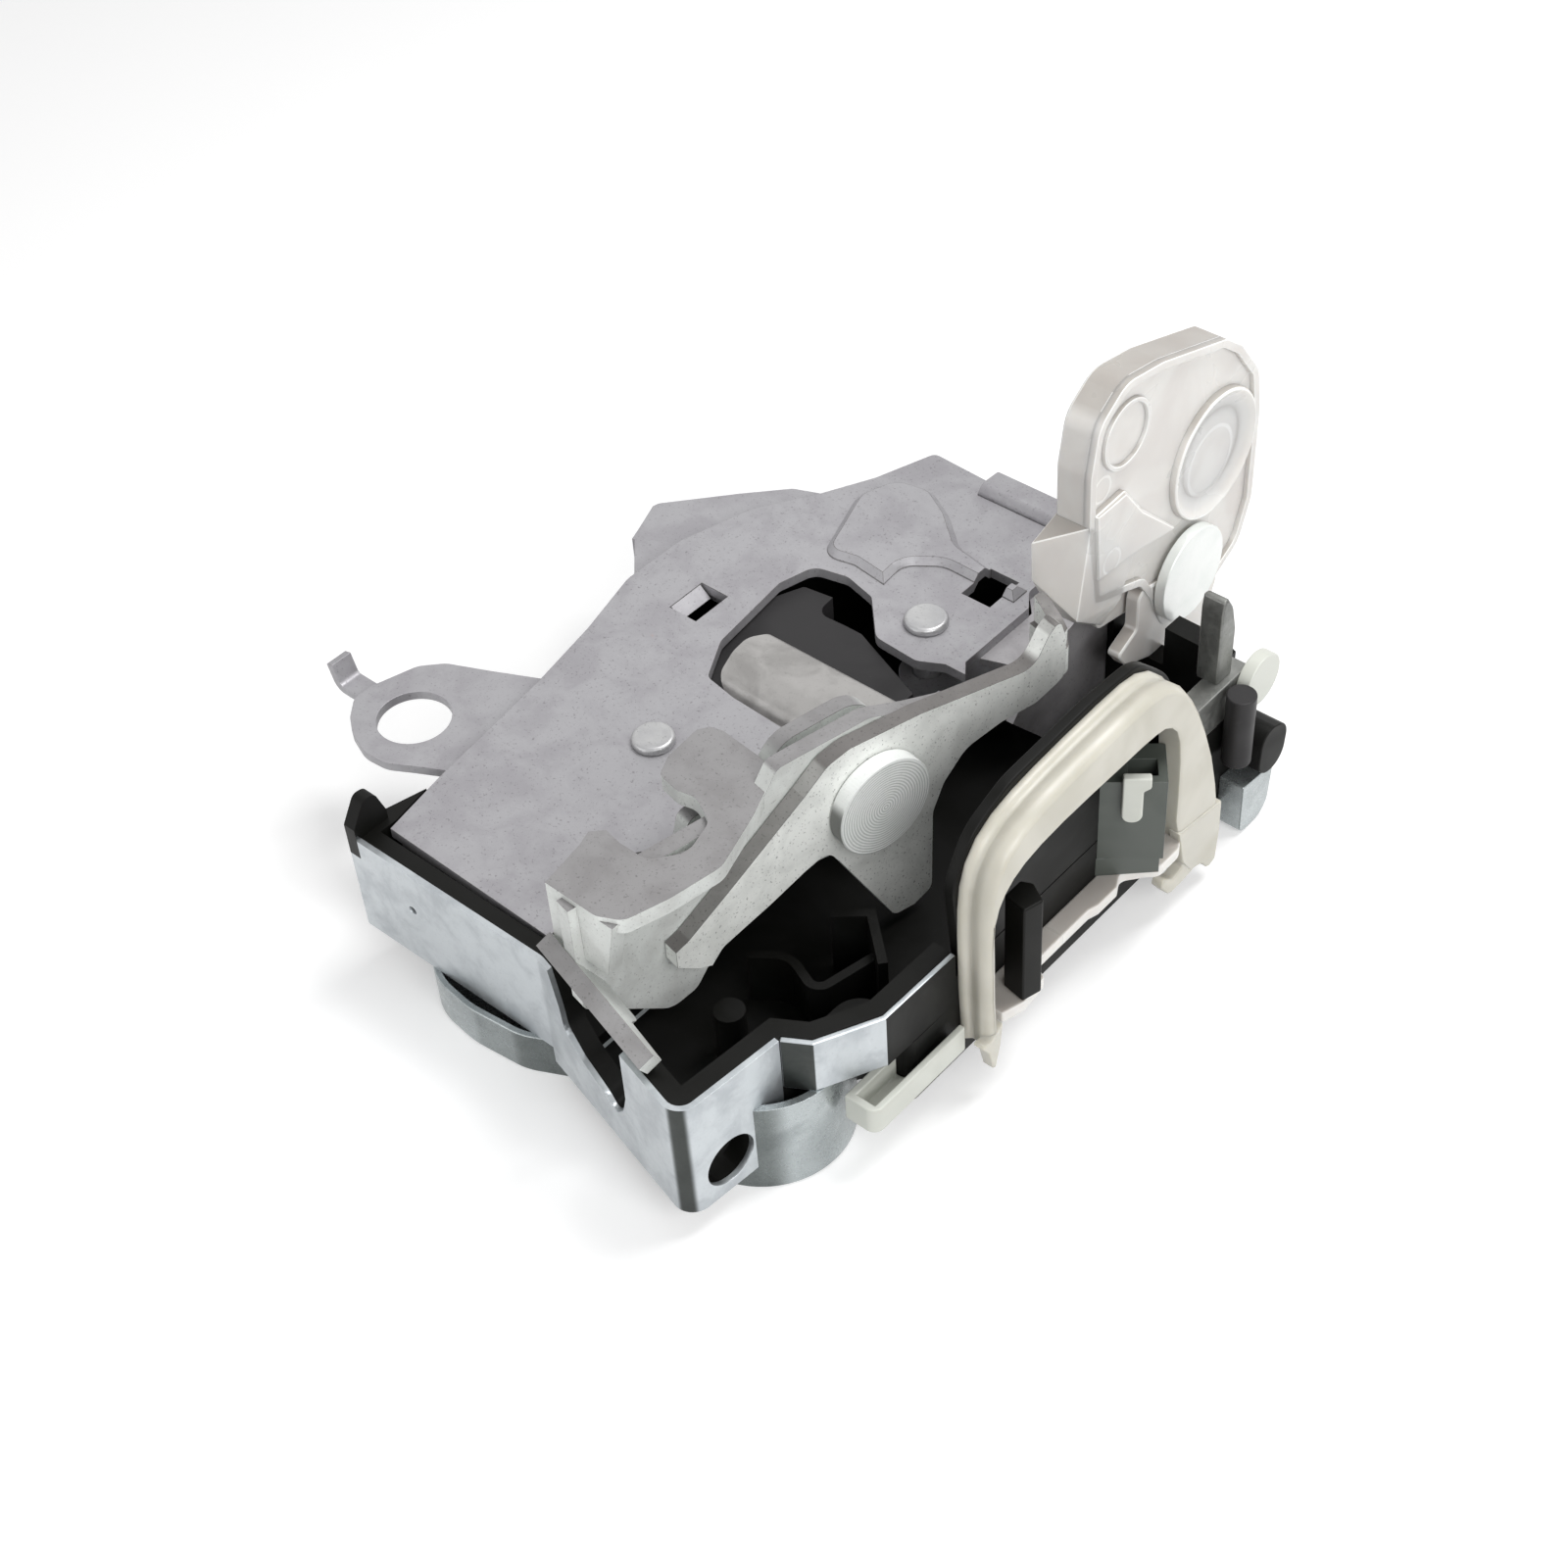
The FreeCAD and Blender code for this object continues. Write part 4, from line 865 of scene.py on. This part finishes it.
class LATCH_OT_arch(bpy.types.Operator):
    """Finish the ivory arch, the wall behind it and the pale pieces under it"""

    bl_idname = "latch.arch"
    bl_label = "Arch"

    def execute(self, context):
        edge = context.scene.latch_sheets.plastic_edge
        build_arch(edge)
        dress_all(("arch_wall", "base_cover", "cable_tray"), edge)
        return {"FINISHED"}


class LATCH_OT_connector(bpy.types.Operator):
    """Finish the plug socket, its key and blades, and the post"""

    bl_idname = "latch.connector"
    bl_label = "Connector"

    def execute(self, context):
        edge = context.scene.latch_sheets.plastic_edge
        dress_all(("connector_housing", "connector_peg", "buffer_post"), edge)
        dress("terminals", BLADE_EDGE)
        return {"FINISHED"}


class LATCH_OT_end_pieces(bpy.types.Operator):
    """Finish the group at the right rear"""

    bl_idname = "latch.end_pieces"
    bl_label = "End pieces"

    def execute(self, context):
        build_end_block()
        dress_all(("end_bracket", "end_clip", "end_rod", "end_cap", "end_foot"),
                  context.scene.latch_sheets.sheet_edge)
        return {"FINISHED"}


class LATCH_OT_catch(bpy.types.Operator):
    """Finish the claw with its jacket, the pawl and the springs"""

    bl_idname = "latch.catch"
    bl_label = "Claw and pawl"

    def execute(self, context):
        settings = context.scene.latch_sheets
        dress_all(("claw", "pawl"), settings.sheet_edge)
        dress("claw_jacket", settings.plastic_edge)
        dress_all(("claw_spring", "pawl_spring"), 0.0)
        return {"FINISHED"}


class LATCH_OT_drive(bpy.types.Operator):
    """Finish the motor, its worm and wheel, and the switch"""

    bl_idname = "latch.drive"
    bl_label = "Drive"

    def execute(self, context):
        dress_all(("motor_can", "motor_worm", "worm_wheel", "wheel_pin", "microswitch"),
                  context.scene.latch_sheets.sheet_edge)
        return {"FINISHED"}


# Studio: lengths in metres, apart from the camera's place in millimetres and its turn in degrees
FLOOR_HALF = 3.0
FLOOR_GAP = 0.3 * MM
FLOOR_LIFT = 0.31
CAMERA_AT = (266.1, -184.1, 287.1)
CAMERA_TURN = (44.13, 44.32, -4.39)
CAMERA_CLIP = 0.01

# Each lamp's place from the object's middle, and its size
LAMPS = {"key": ((0.12, 0.25, 0.6), (0.3, 0.3)),
         "fill": ((0.6, -0.25, 0.42), (0.6, 0.4)),
         "front": ((-0.15, -0.6, 0.15), (0.5, 0.3))}


def camera_turn(azimuth, elevation, roll):
    """The camera's turn from its azimuth, elevation and roll in degrees."""
    a, e, r = (math.radians(value) for value in (azimuth, elevation, roll))
    back = Vector((math.sin(a) * math.cos(e), -math.cos(a) * math.cos(e), math.sin(e)))
    right = Vector((math.cos(a), math.sin(a), 0.0))
    up = back.cross(right)
    tilted_right = right * math.cos(r) + up * math.sin(r)
    tilted_up = back.cross(tilted_right)
    return Matrix((tilted_right, tilted_up, back)).transposed()


def soft_light(name, at, aim, size, power):
    """A rectangular area light at a place, facing a point."""
    data = bpy.data.lights.new(name, "AREA")
    data.shape = "RECTANGLE"
    data.size, data.size_y = size
    data.energy = power
    light = bpy.data.objects.new(name, data)
    light.location = at
    light.rotation_euler = (aim - at).to_track_quat("-Z", "Y").to_euler()
    bpy.context.scene.collection.objects.link(light)


def seen_by(tree, *rays):
    """On for the named kinds of ray."""
    path = tree.nodes.new("ShaderNodeLightPath")
    seen = path.outputs[rays[0]]
    for ray in rays[1:]:
        seen = maths(tree, "MAXIMUM", seen, path.outputs[ray])
    return seen


def floor_material(color):
    """A pale floor that the camera sees as white wherever no shadow falls."""
    material = bpy.data.materials.new("Studio floor")
    material.use_nodes = True
    tree = material.node_tree
    shader = tree.nodes["Principled BSDF"]
    shader.inputs["Base Color"].default_value = (*color, 1.0)
    shader.inputs["Roughness"].default_value = 0.9
    shader.inputs["Specular IOR Level"].default_value = 0.1
    shader.inputs["Emission Color"].default_value = (1.0, 1.0, 1.0, 1.0)
    lift = maths(tree, "MULTIPLY", seen_by(tree, "Is Camera Ray", "Is Glossy Ray"), FLOOR_LIFT)
    tree.links.new(lift, shader.inputs["Emission Strength"])
    return material


def make_floor(at, color):
    """The floor, a plain square round a point."""
    work = bmesh.new()
    bmesh.ops.create_grid(work, x_segments=1, y_segments=1, size=FLOOR_HALF,
                          matrix=Matrix.Translation(at))
    mesh = bpy.data.meshes.new("studio_floor")
    work.to_mesh(mesh)
    work.free()
    mesh.materials.append(floor_material(color))
    floor = bpy.data.objects.new("studio_floor", mesh)
    bpy.context.scene.collection.objects.link(floor)
    floor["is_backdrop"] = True


def white_world(ambient):
    """White to the camera and to reflections, and plain ambient light for the rest."""
    world = bpy.data.worlds.new("Studio")
    world.use_nodes = True
    tree = world.node_tree
    background = tree.nodes["Background"]
    background.inputs["Color"].default_value = (1.0, 1.0, 1.0, 1.0)
    level = tree.nodes.new("ShaderNodeMapRange")
    level.inputs["To Min"].default_value = ambient
    level.inputs["To Max"].default_value = 1.0
    seen = seen_by(tree, "Is Camera Ray", "Is Glossy Ray", "Is Transmission Ray")
    tree.links.new(seen, level.inputs["Value"])
    tree.links.new(level.outputs["Result"], background.inputs["Strength"])
    bpy.context.scene.world = world


def make_camera(lens):
    """The camera at the photograph's place and angle."""
    data = bpy.data.cameras.new("camera")
    data.lens = lens
    data.clip_start = CAMERA_CLIP
    camera = bpy.data.objects.new("camera", data)
    place = Matrix.Translation(Vector(CAMERA_AT) * MM)
    camera.matrix_world = place @ camera_turn(*CAMERA_TURN).to_4x4()
    bpy.context.scene.collection.objects.link(camera)
    bpy.context.scene.camera = camera


class LATCH_OT_stage(bpy.types.Operator):
    """Set up the floor, the lights and the camera at the photograph's angle"""

    bl_idname = "latch.stage"
    bl_label = "Studio"

    def execute(self, context):
        settings = context.scene.latch_studio
        low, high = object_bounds()
        middle = (low + high) / 2
        make_floor((middle.x, middle.y, low.z - FLOOR_GAP), settings.floor)
        white_world(settings.ambient)
        for name, (offset, size) in LAMPS.items():
            soft_light(name, middle + Vector(offset), middle, size, getattr(settings, name))
        make_camera(settings.lens)
        context.scene.view_settings.view_transform = "Standard"
        return {"FINISHED"}


OPERATORS = (LATCH_OT_sheets, LATCH_OT_tub, LATCH_OT_levers, LATCH_OT_white_lever, LATCH_OT_arch,
             LATCH_OT_connector, LATCH_OT_end_pieces, LATCH_OT_catch, LATCH_OT_drive, LATCH_OT_stage)


class LATCH_PT_tools(bpy.types.Panel):
    """Lists the latch's sizes and the steps that finish it"""

    bl_idname = "LATCH_PT_tools"
    bl_label = "Door latch actuator"
    bl_space_type = "VIEW_3D"
    bl_region_type = "UI"
    bl_category = "Latch"

    def draw(self, context):
        for settings in (context.scene.latch_sheets, context.scene.latch_studio):
            for name in settings.__annotations__:
                self.layout.prop(settings, name)
        for operator in OPERATORS:
            self.layout.operator(operator.bl_idname)


CLASSES = (SheetSettings, StudioSettings) + OPERATORS + (LATCH_PT_tools,)


def register():
    """Registers the classes and puts the settings on the scene."""
    for cls in CLASSES:
        bpy.utils.register_class(cls)
    bpy.types.Scene.latch_sheets = PointerProperty(type=SheetSettings)
    bpy.types.Scene.latch_studio = PointerProperty(type=StudioSettings)


def unregister():
    """Takes the settings and the classes out again."""
    del bpy.types.Scene.latch_studio
    del bpy.types.Scene.latch_sheets
    for cls in reversed(CLASSES):
        bpy.utils.unregister_class(cls)


def main():
    """Registers the classes, finishes each group of pieces and sets up the studio."""
    register()
    for operator in OPERATORS:
        group, name = operator.bl_idname.split(".")
        getattr(getattr(bpy.ops, group), name)()


if __name__ == "__main__":
    main()
